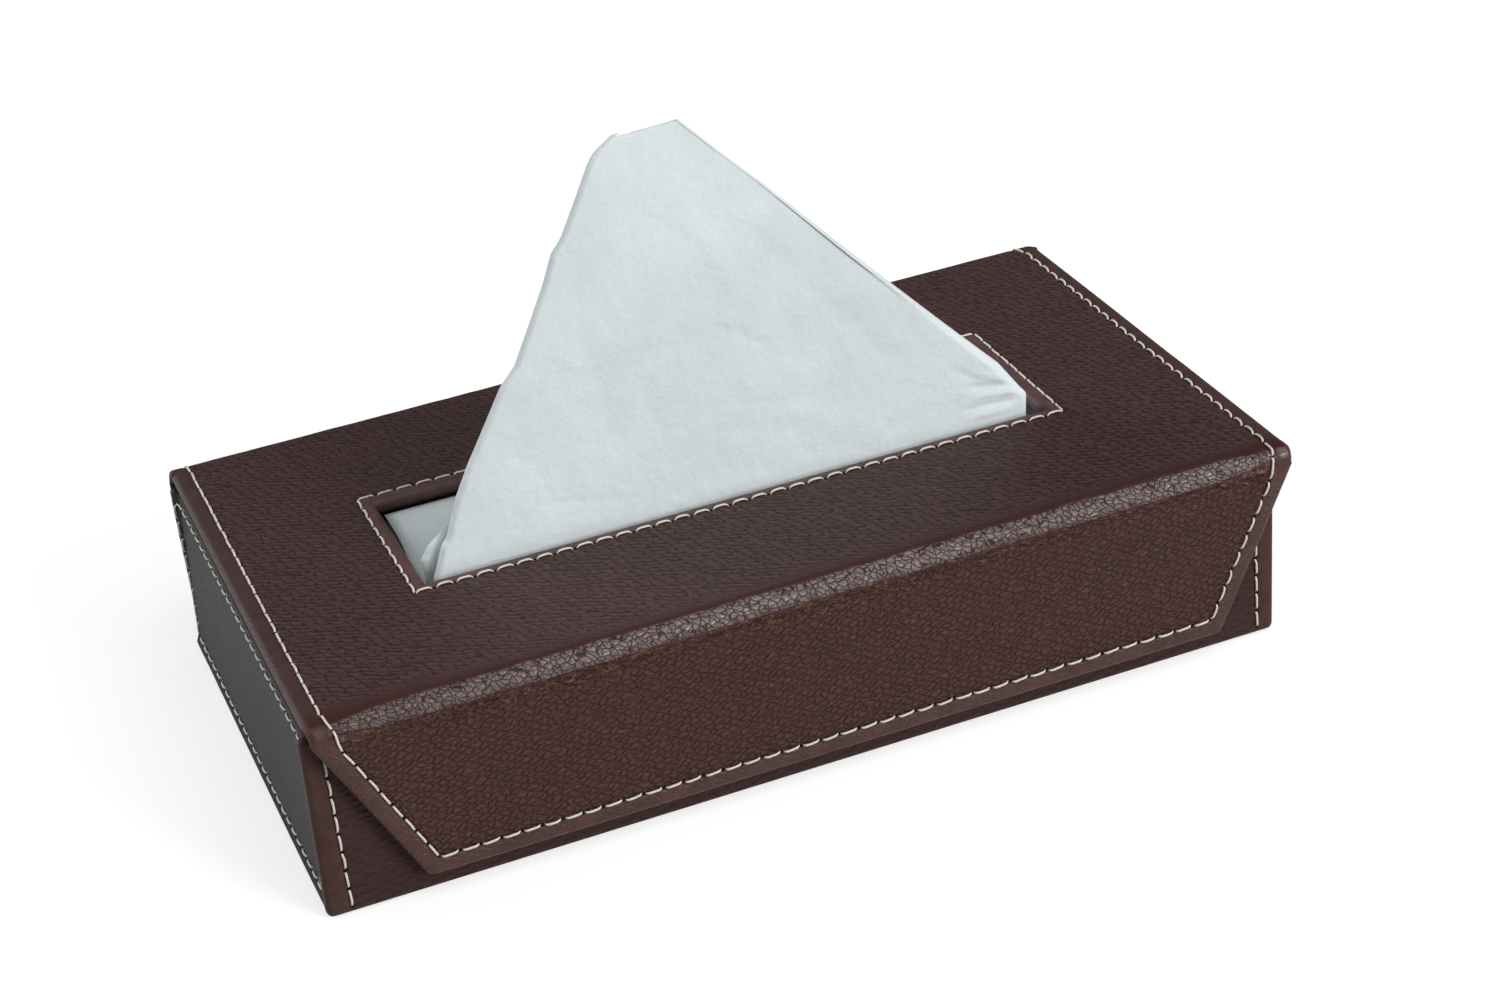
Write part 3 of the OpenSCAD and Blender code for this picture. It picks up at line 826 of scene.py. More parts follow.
def make_end(name, turn, tag):
    rows = Rows()
    face, back = end_low[0], end_low[0] + end_thickness
    low, high = end_foot, end_high[2]
    middle = (low + high) / 2
    for z in graded(low + END_EDGE, middle, WALL_STEP, [low + END_SEAM])[::-1]:
        rows.add((face, z), (back, z), z)
    rows.close((0, -1), END_EDGE, -1)
    rows.reverse()
    for z in graded(middle, high - END_EDGE, WALL_STEP, [high - END_SEAM])[1:]:
        rows.add((face, z), (back, z), z)
    rows.close((0, 1), END_EDGE, 1)
    marks = [end_front + END_SEAM, end_rear - END_SEAM]
    columns = graded(end_front + END_EDGE, end_rear - END_EDGE, WALL_STEP, marks)
    return panel(name, rows, (end_front, end_rear), columns, edge_path(END_EDGE, end_thickness, END_HEM),
                 end_surface, turn=turn, tag=tag)


# Back hinge leather

HINGE_SKIN = 1.4
HINGE_ROUND = 2.2
HINGE_ROWS = 12
HINGE_EDGE, HINGE_THICKNESS, HINGE_HEM = 1.0, 2.0, 0.8


def hinge_line():
    """Outer points of the back hinge in Y and Z, from the lid's cut to the wall's, and how far on each is."""
    corner_y, corner_z = tray_high[1] - HINGE_ROUND, lid_top - HINGE_ROUND
    line = [(lerp(back_cut_y, corner_y, t), lid_top) for t in (0, 0.5)]
    line += [(corner_y + HINGE_ROUND * math.sin(a), corner_z + HINGE_ROUND * math.cos(a))
             for a in np.linspace(0, math.pi / 2, HINGE_ROWS)]
    line += [(tray_high[1], lerp(corner_z, back_cut_z, t)) for t in (0.5, 1)]
    line = np.array(line)
    return line, run_along(line)


def hinge_seams():
    """Two stitches at each end that join the lid's seam to the back wall's, over the hinge."""
    length = hinge_line()[1][-1]
    start = lid_high[1] - SKIN
    end = back_cut_y + length + back_cut_z - (tray_high[2] - SKIN)
    return [Seam((mid_x + side * seam_x, start), (side * wall_seam_x, end), 0.05 * side, count=2)
            for side in (-1, 1)]


def on_hinge(x, s, rise):
    """A point over the hinge. s runs from the lid's cut down to the wall's, and past both."""
    x, s, rise = np.broadcast_arrays(x, s, rise)
    line, steps = hinge_line()
    along = s - back_cut_y
    y, z = np.interp(along, steps, line[:, 0]), np.interp(along, steps, line[:, 1])
    y = y + np.minimum(along, 0)
    z = z - np.maximum(along - steps[-1], 0)
    angle = np.clip((along - (steps[1] + 0.6)) / (HINGE_ROUND * math.pi / 2), 0, 1) * math.pi / 2
    return as_points(x, y + rise * np.sin(angle), z + rise * np.cos(angle))


def make_back_hinge():
    marks = [mid_x - seam_x, mid_x + seam_x]
    columns = graded(lid_low[0] + LID_EDGE, lid_high[0] - LID_EDGE, COARSE_STEP, marks)
    outer, steps = hinge_line()
    level = steps / steps[-1]
    half = np.interp(level, [0, 1], [lid_half, (tray_high[0] - tray_low[0]) / 2 - TRAY_SET_BACK])
    centre = np.interp(level, [0, 1], [mid_x, 0.0])
    rows = Rows()
    inner_y = np.interp(level, [0, 0.5, 1], [back_cut_y, lid_axis[1] - 0.3, tray_high[1] - HINGE_SKIN])
    inner_z = np.interp(level, [0, 0.5, 1], [lid_top - HINGE_SKIN, lid_axis[2] - 0.3, back_cut_z])
    for point, inner, step in zip(outer, zip(inner_y, inner_z), steps):
        rows.add(point, inner, back_cut_y + step)

    def surface(x, place, base):
        t = (place - back_cut_y) / steps[-1]
        soft = smooth(0, 0.2, t) * smooth(1, 0.8, t)
        fold = 0.05 * soft_noise(x / 3, place, 1.6, 97) + 0.03 * soft_noise(x, place, 6.0, 98)
        margin = past_seam(x - mid_x, seam_x)
        sewn, pit = all_sewn(x, place, hinge_seams())
        # The crease value paints a faint shade along the hinge's bend, with painted highlights on crinkle
        # crests
        return fold * soft + 0.7 * sewn, {"margin": margin, "crease": 0.3 * soft, "pit": pit}

    return panel("back_hinge_leather", rows, (centre - half, centre + half), columns,
                 edge_path(HINGE_EDGE, HINGE_THICKNESS, HINGE_HEM), surface)


# Rolled rim of the slot

SLOT_STEP = 0.9


def make_slot_rim():
    """Leather rolled over the slot's edge: a mitred frame with one section all round."""
    top, low = lid_top, rim_low[2]
    section = np.array([
        (slot_gap + 0.15, top - 0.7), (slot_gap + 0.1, top - 0.12), (slot_gap - 0.35, top + 0.02),
        (2.7, top + 0.1), (2.0, top + 0.14), (1.35, top + 0.02), (0.8, top - 0.3), (0.38, top - 0.75),
        (0.12, top - 1.3), (0.0, top - 2.0), (0.05, top - 2.8), (0.25, low + 0.7), (0.6, low + 0.2),
        (1.1, low), (2.2, low), (2.6, low + 0.25), (2.7, low + 1.2)])
    lengths = run_along(section)
    points, flow = [], []
    run = 0.0
    for along_x, along_y in ((1, 0), (0, 1), (-1, 0), (0, -1)):
        long_half = slot_half_w if along_x else slot_half_d
        count = int(long_half * 2 / SLOT_STEP)
        for t in np.linspace(-1, 1, count, endpoint=False):
            here = run + t * long_half
            corner = bell(1 - abs(t), 3.0 / long_half)
            wave = 0.09 * soft_noise(here, lengths, 3.0, 61)
            wave = wave + 0.16 * corner * soft_noise(here, lengths, 1.2, 62)
            a = section[:, 0] + wave * smooth(0, 2, lengths)
            z = section[:, 1] + wave * 0.5
            near = t * (long_half + a)
            pull = 0.35 * bell(1 - abs(t), 0.8 / long_half)
            if along_x:
                x, y = near * along_x, -along_x * ((slot_half_d + a) + pull)
            else:
                x, y = along_y * ((slot_half_w + a) + pull), near * along_y
            points.append(as_points(mid_x + x, y, z))
            flow.append(as_points(run + (t + 1) * long_half, lengths, 7.0))
        run += long_half * 2
    count, around = len(points), len(lengths)
    values = {"margin": np.ones(count * around), "flow": flow}
    return new_piece("slot_rim", points, loop_faces(count, around, ring=True), values)


# Pulled tissue: one sheet, folded in two, that stands up out of the slot and lies back on the stack below

TISSUE_BEND = 6.0
TISSUE_LEAN = 12.4
TISSUE_TAIL = 21.8
TISSUE_HUMP = 4.6
HUMP_END = 12.0
SHEET_THICKNESS = 0.25
TAIL_POINTS, BEND_POINTS, RISE_POINTS, WIDTH_POINTS = 22, 9, 135, 225
# The curled left edge, the room between the two layers at foot and tip, and the tip's rounding in and down
CURL, LAYER_GAPS, TIP_ROUND = 1.9, (4.6, 1.2), (2.6, 4.5)
# Shares of the sheet's width at which its front layer starts and ends and its back layer starts
FRONT_SHARES = 0.05, 0.52, 0.57
tissue_y = -slot_half_d + 2.4
tissue_low = stack_high[2] + 0.7
tissue_tip = cad_box[1][2] / MM
# Places of its edges: height above the lid, and how far from the slot's middle
LEFT_EDGE = [(-12, -84.2), (-6, -84.0), (-3, -83.2), (6, -79.6), (7.5, -78.1), (18, -73.8), (25, -69.9),
             (34, -64.0), (43, -58.1), (47.5, -53.6), (66, -42.9), (73, -39.4), (76, -36.4), (92, -26.0),
             (98, -21.2)]
RIGHT_EDGE = [(-12, 83.5), (-2, 82.3), (3.6, 82.8), (6, 81.0), (14, 75.7), (28, 62.6), (55, 37.8), (78, 17.3),
              (98, -1.8)]
BACK_EDGE = [(-12, -84.0), (-3, -83.8), (1.8, -84.4), (5.5, -82.0), (9, -77.5), (14, -71.0), (98, -13.0)]
# Creases: from and to, each as height and place across, then width and depth
CREASES = [((46, -2), (36, 14), 1.6, 0.14), ((15, 66), (9, 79), 0.8, -0.25),
           ((11, 64), (7.5, 81), 0.8, 0.28), ((7.5, 66), (5.5, 82), 0.7, -0.3),
           ((4.5, 62), (3.5, 81), 0.8, 0.25), ((1.5, 64), (1.5, 80), 0.8, -0.2),
           ((18, 60), (11, 70), 1.1, 0.2), ((60, -38), (20, -30), 3.2, 0.2),
           ((70, -30), (34, -18), 1.2, -0.07), ((52, 2), (24, 6), 1.3, -0.06),
           ((26, -10), (18, 30), 1.1, 0.07), ((38, 30), (14, 40), 1.2, -0.08),
           ((12, -60), (4, -20), 1.2, 0.08), ((84, -22), (64, 0), 1.2, 0.08),
           ((88, -12), (30, 20), 4.0, -0.25), ((30, -60), (2, -40), 4.5, 0.2),
           ((70, 10), (16, 52), 2.4, 0.15), ((40, -50), (44, 8), 3.0, 0.1), ((22, 8), (2, 44), 3.4, -0.15)]


def tissue_spine():
    """The sheet's way in Y and Z: forwards along the stack, round a bend, and up to its tip."""
    bend_y, bend_z = tissue_y + TISSUE_BEND, tissue_low + TISSUE_BEND
    tail = [(y, tissue_low + TISSUE_HUMP * smooth(bend_y, HUMP_END, y))
            for y in np.linspace(TISSUE_TAIL, bend_y, TAIL_POINTS, endpoint=False)]
    bend = [(bend_y - TISSUE_BEND * math.sin(a), bend_z - TISSUE_BEND * math.cos(a))
            for a in np.linspace(0, math.pi / 2, BEND_POINTS, endpoint=False)]
    share = np.linspace(0, 1, RISE_POINTS)
    share = lerp(share, share ** 2, 0.4)
    rise = np.column_stack([tissue_y + TISSUE_LEAN * share ** 2, lerp(bend_z, tissue_tip, share)])
    line = np.concatenate([tail, bend, rise])
    way = np.gradient(line, axis=0)
    way = way / np.linalg.norm(way, axis=1)[:, None]
    return line, np.column_stack([way[:, 1], -way[:, 0]])


def tissue_section(above):
    """Across and back places of the folded sheet at each height, and how far round it each of them is."""
    edges = (LEFT_EDGE, RIGHT_EDGE, BACK_EDGE)
    left, right, end = (np.interp(above, *np.array(edge).T)[:, None] for edge in edges)
    left = left + TIP_ROUND[0] * smooth(above[-1] - TIP_ROUND[1], above[-1], above)[:, None] ** 2
    roll = np.minimum(CURL, 0.1 * (right - left)) * lerp(0.3, 1.0, smooth(-12, -3, above))[:, None]
    height = smooth(-12, 96, above)[:, None]
    gap = lerp(*LAYER_GAPS, height) * lerp(0.25, 1.0, smooth(-12.2, -6.0, above))[:, None]
    curl, front, back = FRONT_SHARES
    steps = np.interp(np.linspace(0, 1, WIDTH_POINTS), [0, 0.06, 0.72, 0.78, 1], [0, curl, front, back, 1])
    t = np.broadcast_to(steps[None, :], (len(above), len(steps)))

    edge_turn = np.clip(t / curl, 0, 1) * math.pi
    fold_turn = np.clip((t - front) / (back - front), 0, 1) * math.pi
    share = (t - back) / (1 - back)
    billow = 1.5 * np.sin(share * 5 + 0.6) * height * (1 - height) * 2
    parts = [t < curl, t < front, t < back, t >= back]
    across = np.select(parts, [
        left + roll - roll * np.sin(edge_turn) + (1 - t / curl) * 1.5,
        lerp(left + roll, right - gap / 2, (t - curl) / (front - curl)),
        right - gap / 2 + gap / 2 * np.sin(fold_turn),
        lerp(right - gap / 2, end, share)])
    deep = np.select(parts, [
        roll * (1 + np.cos(edge_turn)), 0 * t, gap / 2 * (1 - np.cos(fold_turn)), gap + billow])
    return across, deep, t


def tissue_dents(across, up, run, in_front):
    """Waves, wrinkles and creases of the sheet: how far each point stands back."""
    free = smooth(-4, 12, up)
    dent = 0.55 * soft_noise(across, run + 60 * ~in_front, 42.0, 81) * free
    dent = dent + 0.16 * (1 - np.abs(soft_noise(across + 0.3 * run, run, 17.0, 82))) * lerp(0.4, 1, free)
    dent = dent + 0.05 * soft_noise(across, run, 5.0, 85)
    for (z0, x0), (z1, x1), wide, depth in CREASES:
        length = math.hypot(x1 - x0, z1 - z0)
        along = ((across - x0) * (x1 - x0) + (up - z0) * (z1 - z0)) / length
        off = ((across - x0) * (z1 - z0) - (up - z0) * (x1 - x0)) / length
        ends = smooth(0, 0.25 * length, along) * smooth(length, 0.75 * length, along)
        dent = dent + depth * bell(off, wide) * ends * in_front
    lying = smooth(-7, -12, up)
    return dent + lying * (1.1 + 1.0 * soft_noise(across, run, 30.0, 86)) * smooth(0, 6, run)


def make_tissue():
    line, back_way = tissue_spine()
    above = line[:, 1] - lid_top
    across, deep, t = tissue_section(above)
    up = np.broadcast_to(above[:, None], t.shape)
    deep = deep + tissue_dents(across, up, run_along(line)[:, None], t < FRONT_SHARES[1])
    tip = 0.5 * soft_noise(across, 0.0, 7.0, 87) * smooth(80, 98, up)
    y = line[:, :1] + deep * back_way[:, :1]
    z = line[:, 1:] + deep * back_way[:, 1:] + tip
    rows, columns = t.shape
    faces = [face for i, face in enumerate(loop_faces(rows, columns)) if i % columns < columns - 1]
    piece = new_piece("tissue", as_points(mid_x + across, y, z), faces, keep_angle=80.0)
    thick = piece.modifiers.new("thickness", "SOLIDIFY")
    thick.thickness = SHEET_THICKNESS * MM
    thick.offset = 0
    return piece


# Stack of folded tissues

STACK_LAYERS = 34
STACK_CORNER = 4.0
STACK_STEP = 3.0
STACK_TOP_RINGS = 12


def make_stack():
    (half_w, half_d), tall = (stack_high - stack_low)[:2] / 2, stack_high[2] - stack_low[2]
    corners = []
    for x, y, start in ((1, -1, -90), (1, 1, 0), (-1, 1, 90), (-1, -1, 180)):
        turn = np.radians(np.linspace(start, start + 90, 7))
        corners.append(np.column_stack([x * (half_w - STACK_CORNER) + STACK_CORNER * np.cos(turn),
                                        y * (half_d - STACK_CORNER) + STACK_CORNER * np.sin(turn)]))
    corners = np.concatenate(corners)
    loop = []
    for here, there in zip(corners, np.roll(corners, -1, axis=0)):
        steps = max(1, int(np.linalg.norm(there - here) / STACK_STEP))
        loop += [here + (there - here) * k / steps for k in range(steps)]
    loop = np.array(loop)
    around = len(loop)
    rings = []
    for layer in range(STACK_LAYERS):
        shift = 0.35 * soft_noise(loop[:, 0], loop[:, 1] + layer * 31.0, 40.0, 83)
        for up, out in ((0.05, 0.35), (0.3, 0.0), (0.7, 0.0), (0.95, 0.35)):
            scale = 1 - (out + 0.5 + shift) / np.linalg.norm(loop, axis=1)
            z = stack_low[2] + tall * (layer + up) / STACK_LAYERS
            rings.append(as_points(*(loop * scale[:, None]).T, z))
    rim = rings[-1][:, :2]
    for k in range(1, STACK_TOP_RINGS):
        x, y = (rim * (1 - k / STACK_TOP_RINGS)).T
        rings.append(as_points(x, y, stack_high[2] - 0.15 + 0.25 * soft_noise(x, y, 24.0, 84)))
    faces = loop_faces(len(rings), around) + end_faces(len(rings), around)
    return new_piece("tissue_pile", rings, faces, keep_angle=50.0)


# Materials

def colour(code):
    """A linear colour from a six-figure code such as 47332f."""
    parts = [int(code[i:i + 2], 16) / 255 for i in (0, 2, 4)]
    return tuple(p / 12.92 if p <= 0.04045 else ((p + 0.055) / 1.055) ** 2.4 for p in parts) + (1.0,)


def tinted(tone, red, green, blue):
    """A colour with each part scaled."""
    return (tone[0] * red, tone[1] * green, tone[2] * blue, 1.0)


# Painted shade: the near-black put in the needle holes, where the leather only dips
NEEDLE_HOLE_SHADE = (0.003, 0.002, 0.002, 1)


class Shader:
    """A material's nodes, with short calls that add one and join it up."""

    def __init__(self, name):
        self.material = bpy.data.materials.new(name)
        self.material.use_nodes = True
        self.tree = self.material.node_tree
        self.tree.nodes.clear()

    def node(self, kind, inputs=None, **settings):
        made = self.tree.nodes.new(kind)
        for key, value in settings.items():
            setattr(made, key, value)
        for key, value in (inputs or {}).items():
            socket = made.inputs[key]
            if isinstance(value, bpy.types.NodeSocket):
                self.tree.links.new(value, socket)
            else:
                socket.default_value = value
        return made

    def maths(self, operation, a, b=0.0):
        return self.node("ShaderNodeMath", {0: a, 1: b}, operation=operation).outputs[0]

    def times(self, a, b):
        return self.maths("MULTIPLY", a, b)

    def plus(self, a, b):
        return self.maths("ADD", a, b)

    def less(self, a):
        """1 less a."""
        return self.maths("SUBTRACT", 1.0, a)

    def mix(self, factor, a, b):
        """Mixes two colours."""
        return self.node("ShaderNodeMix", {0: factor, 6: a, 7: b}, data_type="RGBA").outputs[2]

    def blend(self, factor, a, b):
        """Mixes two numbers."""
        return self.node("ShaderNodeMix", {0: factor, 2: a, 3: b}).outputs[0]

    def between(self, value, low, high, to_low=0.0, to_high=1.0):
        """A soft step from to_low to to_high, where the value goes from low to high."""
        return self.node("ShaderNodeMapRange", {0: value, 1: low, 2: high, 3: to_low, 4: to_high},
                         interpolation_type="SMOOTHSTEP").outputs[0]

    def value(self, name, output="Fac"):
        """A named value that the mesh gives."""
        made = self.node("ShaderNodeAttribute", attribute_name=name, attribute_type="GEOMETRY")
        return made.outputs[output]

    def place(self):
        return self.node("ShaderNodeTexCoord").outputs["Object"]

    def spread(self, vector, scale):
        """A vector scaled by one number or by three."""
        scale = (scale,) * 3 if isinstance(scale, float) else scale
        return self.node("ShaderNodeMapping", {"Vector": vector, "Scale": scale}).outputs[0]

    def turned(self, vector, angle):
        """A vector turned about Z, with the angle in degrees."""
        turn = (0, 0, math.radians(angle))
        return self.node("ShaderNodeMapping", {"Vector": vector, "Rotation": turn}).outputs[0]

    def noise(self, vector, detail, rough=0.5):
        return self.node("ShaderNodeTexNoise", {"Vector": vector, "Scale": 1.0, "Detail": detail,
                                                "Roughness": rough}).outputs["Fac"]

    def cells(self, vector, random=1.0):
        """How far each point is from the border of its cell."""
        return self.node("ShaderNodeTexVoronoi", {"Vector": vector, "Scale": 1.0, "Randomness": random},
                         feature="DISTANCE_TO_EDGE").outputs["Distance"]

    def wave(self, vector, way, **inputs):
        return self.node("ShaderNodeTexWave", {"Vector": vector, "Detail": 1.0, **inputs},
                         bands_direction=way).outputs["Fac"]

    def bump(self, height, strength, distance, under=None):
        inputs = {"Height": height, "Strength": strength, "Distance": distance}
        if under is not None:
            inputs["Normal"] = under
        return self.node("ShaderNodeBump", inputs).outputs[0]

    def finish(self, inputs):
        surface = self.node("ShaderNodeBsdfPrincipled", inputs)
        out = self.node("ShaderNodeOutputMaterial")
        self.tree.links.new(surface.outputs[0], out.inputs["Surface"])
        return self.material


def leather(name, tone, edge, grain, angle=0.0, valley=0.7, rough=0.5, gloss=0.3, relief=0.00025, wavy=0.5,
            wear_and_sheen=None):
    """Embossed leatherette: stretched grain cells, smoother margins and pressed edges, and needle holes.

    grain is the length and width of a cell in millimetres, angle the way they lie in degrees, valley how
    light the lines between them are, relief how deep they are in metres, wavy how far the cells run together
    in waves, and the last argument the tone of the rubbed tops of a fold, which thin dark cracks divide; that
    tone is partly real wear and partly a painted sheen.
    """
    m = Shader(name)
    flow = m.value("flow", "Vector")
    margin, press, rim, crease = (m.value(key) for key in ("margin", "press", "rim", "crease"))

    # The grain: cells that run together in waves
    wobble = m.node("ShaderNodeTexNoise", {"Vector": flow, "Scale": 0.3, "Detail": 2.0}).outputs["Color"]
    moved = m.node("ShaderNodeVectorMath", {0: wobble, 1: (2.4, 2.4, 0.0)}, operation="MULTIPLY").outputs[0]
    bent = m.node("ShaderNodeVectorMath", {0: flow, 1: moved}, operation="ADD").outputs[0]
    long, wide = grain
    split = m.node("ShaderNodeSeparateXYZ",
                   {0: m.spread(m.turned(bent, -angle), (1 / long, 1 / wide, 1.0))}).outputs
    bricks = m.plus(split[0], m.times(split[1], 0.5))
    lie = m.node("ShaderNodeCombineXYZ", {0: bricks, 1: split[1], 2: split[2]}).outputs[0]
    domes = m.between(m.cells(lie, 0.42), 0.0, 0.28)
    waves = m.wave(lie, "Y", **{"Scale": 0.314, "Distortion": 1.6, "Detail Scale": 1.2})
    dust = m.noise(m.spread(flow, (3.0, 5.0, 1.0)), 3.0)
    plain = m.plus(m.plus(m.times(domes, 0.9 - wavy), m.times(waves, wavy)), m.times(dust, 0.1))
    calm = m.times(m.less(m.times(margin, 0.72)), m.less(m.times(press, 0.85)))

    # Its colour, with darker lines, and the margins, painted shade on low parts, and pressed edges
    mottle = m.noise(m.spread(flow, (0.035, 0.07, 1.0)), 3.0, 0.6)
    base = m.mix(m.between(mottle, 0.3, 0.7), tone, tinted(tone, 0.92, 0.93, 0.97))
    dark = m.times(m.between(plain, 0.68, 0.12), calm)
    base = m.mix(dark, base, tinted(tone, valley, valley * 0.86, valley * 0.83))
    patch = m.noise(m.spread(flow, (0.16, 0.16, 1.0)), 3.0, 0.6)
    base = m.mix(margin, base, m.mix(m.between(patch, 0.36, 0.64), edge, tinted(edge, 0.78, 0.8, 0.79)))
    # Painted shade where the mesh marks low parts, the foot of the end panels
    base = m.mix(m.value("low"), base, tinted(tone, 0.58, 0.58, 0.62))
    base = m.mix(m.times(press, 0.85), base, tinted(tone, 0.6, 0.4, 0.34))

    # Crinkles along a crease, with painted shade over the crease and painted highlights on the crests, which
    # also stand up and are less rough
    folds = m.noise(m.spread(bent, (0.3, 0.85, 1.0)), 2.0, 0.55)
    ridge = m.between(m.maths("ABSOLUTE", m.maths("SUBTRACT", folds, 0.5)), 0.1, 0.015)
    here = m.between(m.noise(m.spread(flow, (0.45, 0.9, 1.0)), 1.0), 0.42, 0.54)
    crest_and_highlight = m.times(m.times(ridge, here), crease)
    # Painted shade darkens the crease band, and painted highlights lighten its crests
    base = m.mix(m.times(crease, 0.6), base, tinted(tone, 0.62, 0.5, 0.45))
    base = m.mix(m.times(crest_and_highlight, 0.8), base, tinted(edge, 2.1, 2.0, 1.8))
    height = m.plus(m.times(plain, calm), m.times(crest_and_highlight, 0.8))
    roughness = m.blend(crest_and_highlight, m.between(plain, 0.0, 1.0, rough + 0.1, rough), 0.3)

    if wear_and_sheen is not None:
        share, cracked = m.value("wear_and_sheen"), m.value("cracked")
        cell = m.cells(m.spread(m.turned(bent, 24), (1 / 1.8, 1 / 1.25, 1.0)))
        small = m.cells(m.spread(bent, (1 / 1.4, 1 / 1.2, 1.0)))
        line = m.times(m.between(cell, 0.02, 0.12), m.between(small, -0.06, 0.05))
        pillow = m.times(m.between(cell, 0.0, 0.3), m.between(small, -0.2, 0.3))
        # The rubbed tops of the bevel: real wear, with a painted sheen over it
        base = m.mix(m.times(share, 0.9), base, wear_and_sheen)
        base = m.mix(m.times(m.less(line), m.times(cracked, 0.9)), base, tinted(tone, 0.24, 0.18, 0.16))
        height = m.blend(cracked, height, m.times(pillow, 0.6))
        roughness = m.blend(share, roughness, 0.34)
        gloss = m.blend(m.times(share, line), 0.15, gloss)

    shade = m.mix(m.times(rim, 0.4), base, tinted(edge, 0.75, 0.8, 0.85))
    # Painted shade in the needle holes
    shade = m.mix(m.between(m.value("pit"), 0.22, 0.6), shade, NEEDLE_HOLE_SHADE)
    return m.finish({"Base Color": shade, "Roughness": roughness, "Normal": m.bump(height, 1.0, relief),
                     "Specular IOR Level": gloss})


def thread_material():
    m = Shader("stitching_thread")
    fibre = m.noise(m.spread(m.place(), 2500.0), 3.0, 0.6)
    # Painted shade and highlight: darker in the grooves between the plies and lighter on their ridges
    tone = m.mix(m.between(m.value("ply"), -1.0, 0.4), colour("a69d93"), colour("ece6de"))
    tone = m.mix(m.between(fibre, 0.35, 0.7, 0.0, 0.25), tone, colour("b9aea2"))
    return m.finish({"Base Color": tone, "Roughness": 0.72, "Normal": m.bump(fibre, 0.5, 0.00006),
                     "Sheen Weight": 0.15})


def lining_material():
    m = Shader("black_lining")
    here = m.place()
    warp, weft = (m.wave(here, way, Scale=420.0, Distortion=0.6) for way in ("X", "DIAGONAL"))
    weave = m.maths("MAXIMUM", warp, weft)
    fuzz = m.noise(m.spread(here, 900.0), 3.0)
    tone = m.mix(weave, colour("151318"), colour("2c2828"))
    tone = m.mix(m.between(fuzz, 0.35, 0.7, 0.0, 0.4), tone, colour("383434"))
    return m.finish({"Base Color": tone, "Roughness": 0.88, "Normal": m.bump(weave, 0.6, 0.0002),
                     "Specular IOR Level": 0.1, "Sheen Weight": 0.05})


def board_material():
    m = Shader("grey_board")
    here = m.place()
    pulp = m.noise(m.spread(here, (300.0, 300.0, 900.0)), 5.0, 0.65)
    specks = m.noise(m.spread(here, 1400.0), 2.0)
    tone = m.mix(m.between(pulp, 0.3, 0.7), colour("8e8578"), colour("a99f91"))
    tone = m.mix(m.between(specks, 0.62, 0.72, 0.0, 0.6), tone, colour("6d655b"))
    return m.finish({"Base Color": tone, "Roughness": 0.9, "Normal": m.bump(pulp, 0.4, 0.0002)})


def magnet_material():
    m = Shader("nickel_magnet")
    brushed = m.noise(m.spread(m.place(), (400.0, 9000.0, 400.0)), 3.0)
    tone = m.mix(m.between(brushed, 0.3, 0.7), colour("a3a3a6"), colour("c9c9cc"))
    return m.finish({"Base Color": tone, "Roughness": m.between(brushed, 0.3, 0.7, 0.22, 0.4),
                     "Metallic": 1.0, "Normal": m.bump(brushed, 0.2, 0.00003)})


def tissue_material():
    m = Shader("tissue_paper")
    here = m.place()
    fibre = m.noise(m.spread(here, (700.0, 700.0, 1500.0)), 4.0, 0.65)
    cloud = m.noise(m.spread(here, 38.0), 3.0, 0.55)
    crumple = m.noise(m.spread(here, 150.0), 4.0, 0.6)
    tone = m.mix(m.between(cloud, 0.3, 0.7), colour("ccd4d5"), colour("d6dedf"))
    tone = m.mix(m.between(fibre, 0.3, 0.75, 0.0, 0.35), tone, colour("c4cecf"))
    # Painted light: the upright part is whiter near its foot, to lift the shade that the lid and the slot put
    # there
    height = m.node("ShaderNodeSeparateXYZ", {"Vector": here}).outputs["Z"]
    foot = m.times(m.between(height, 0.05, 0.058), m.between(height, 0.052, 0.1, 0.55, 0.0))
    return m.finish({"Base Color": m.mix(foot, tone, colour("e9f5f8")), "Roughness": 0.95,
                     "Normal": m.bump(crumple, 0.4, 0.0012, m.bump(fibre, 0.35, 0.0001)),
                     "Sheen Weight": 0.1, "Specular IOR Level": 0.2})


def dress(piece, material):
    piece.data.materials.clear()
    piece.data.materials.append(material)


# Set: floor, light and camera

CAMERA_AZIMUTH, CAMERA_ELEVATION, CAMERA_ROLL = -18.77, 28.9, -6.34
CAMERA_AIM, CAMERA_DISTANCE, CAMERA_LENS = (17.43, 14.84, 30.0), 826.9, 73.0


def make_camera():
    azimuth, elevation, roll = (math.radians(a) for a in (CAMERA_AZIMUTH, CAMERA_ELEVATION, CAMERA_ROLL))
    back = np.array([math.sin(azimuth) * math.cos(elevation), -math.cos(azimuth) * math.cos(elevation),
                     math.sin(elevation)])
    right = np.cross(-back, [0, 0, 1])
    right = right / np.linalg.norm(right)
    up = np.cross(back, right)
    across = right * math.cos(roll) + up * math.sin(roll)
    upward = -right * math.sin(roll) + up * math.cos(roll)
    data = bpy.data.cameras.new("camera")
    data.lens = CAMERA_LENS
    data.sensor_width = 36
    camera = bpy.data.objects.new("camera", data)
    place = (np.array(CAMERA_AIM) + back * CAMERA_DISTANCE) * MM
    rows = [[across[i], upward[i], back[i], place[i]] for i in range(3)]
    camera.matrix_world = Matrix(rows + [[0, 0, 0, 1]])
    bpy.context.scene.collection.objects.link(camera)
    bpy.context.scene.camera = camera


WORLD_LIGHT = 0.2
FLOOR_WHITE = 0.64
FLOOR_HALF, FLOOR_DROP = 6.0, 0.0002


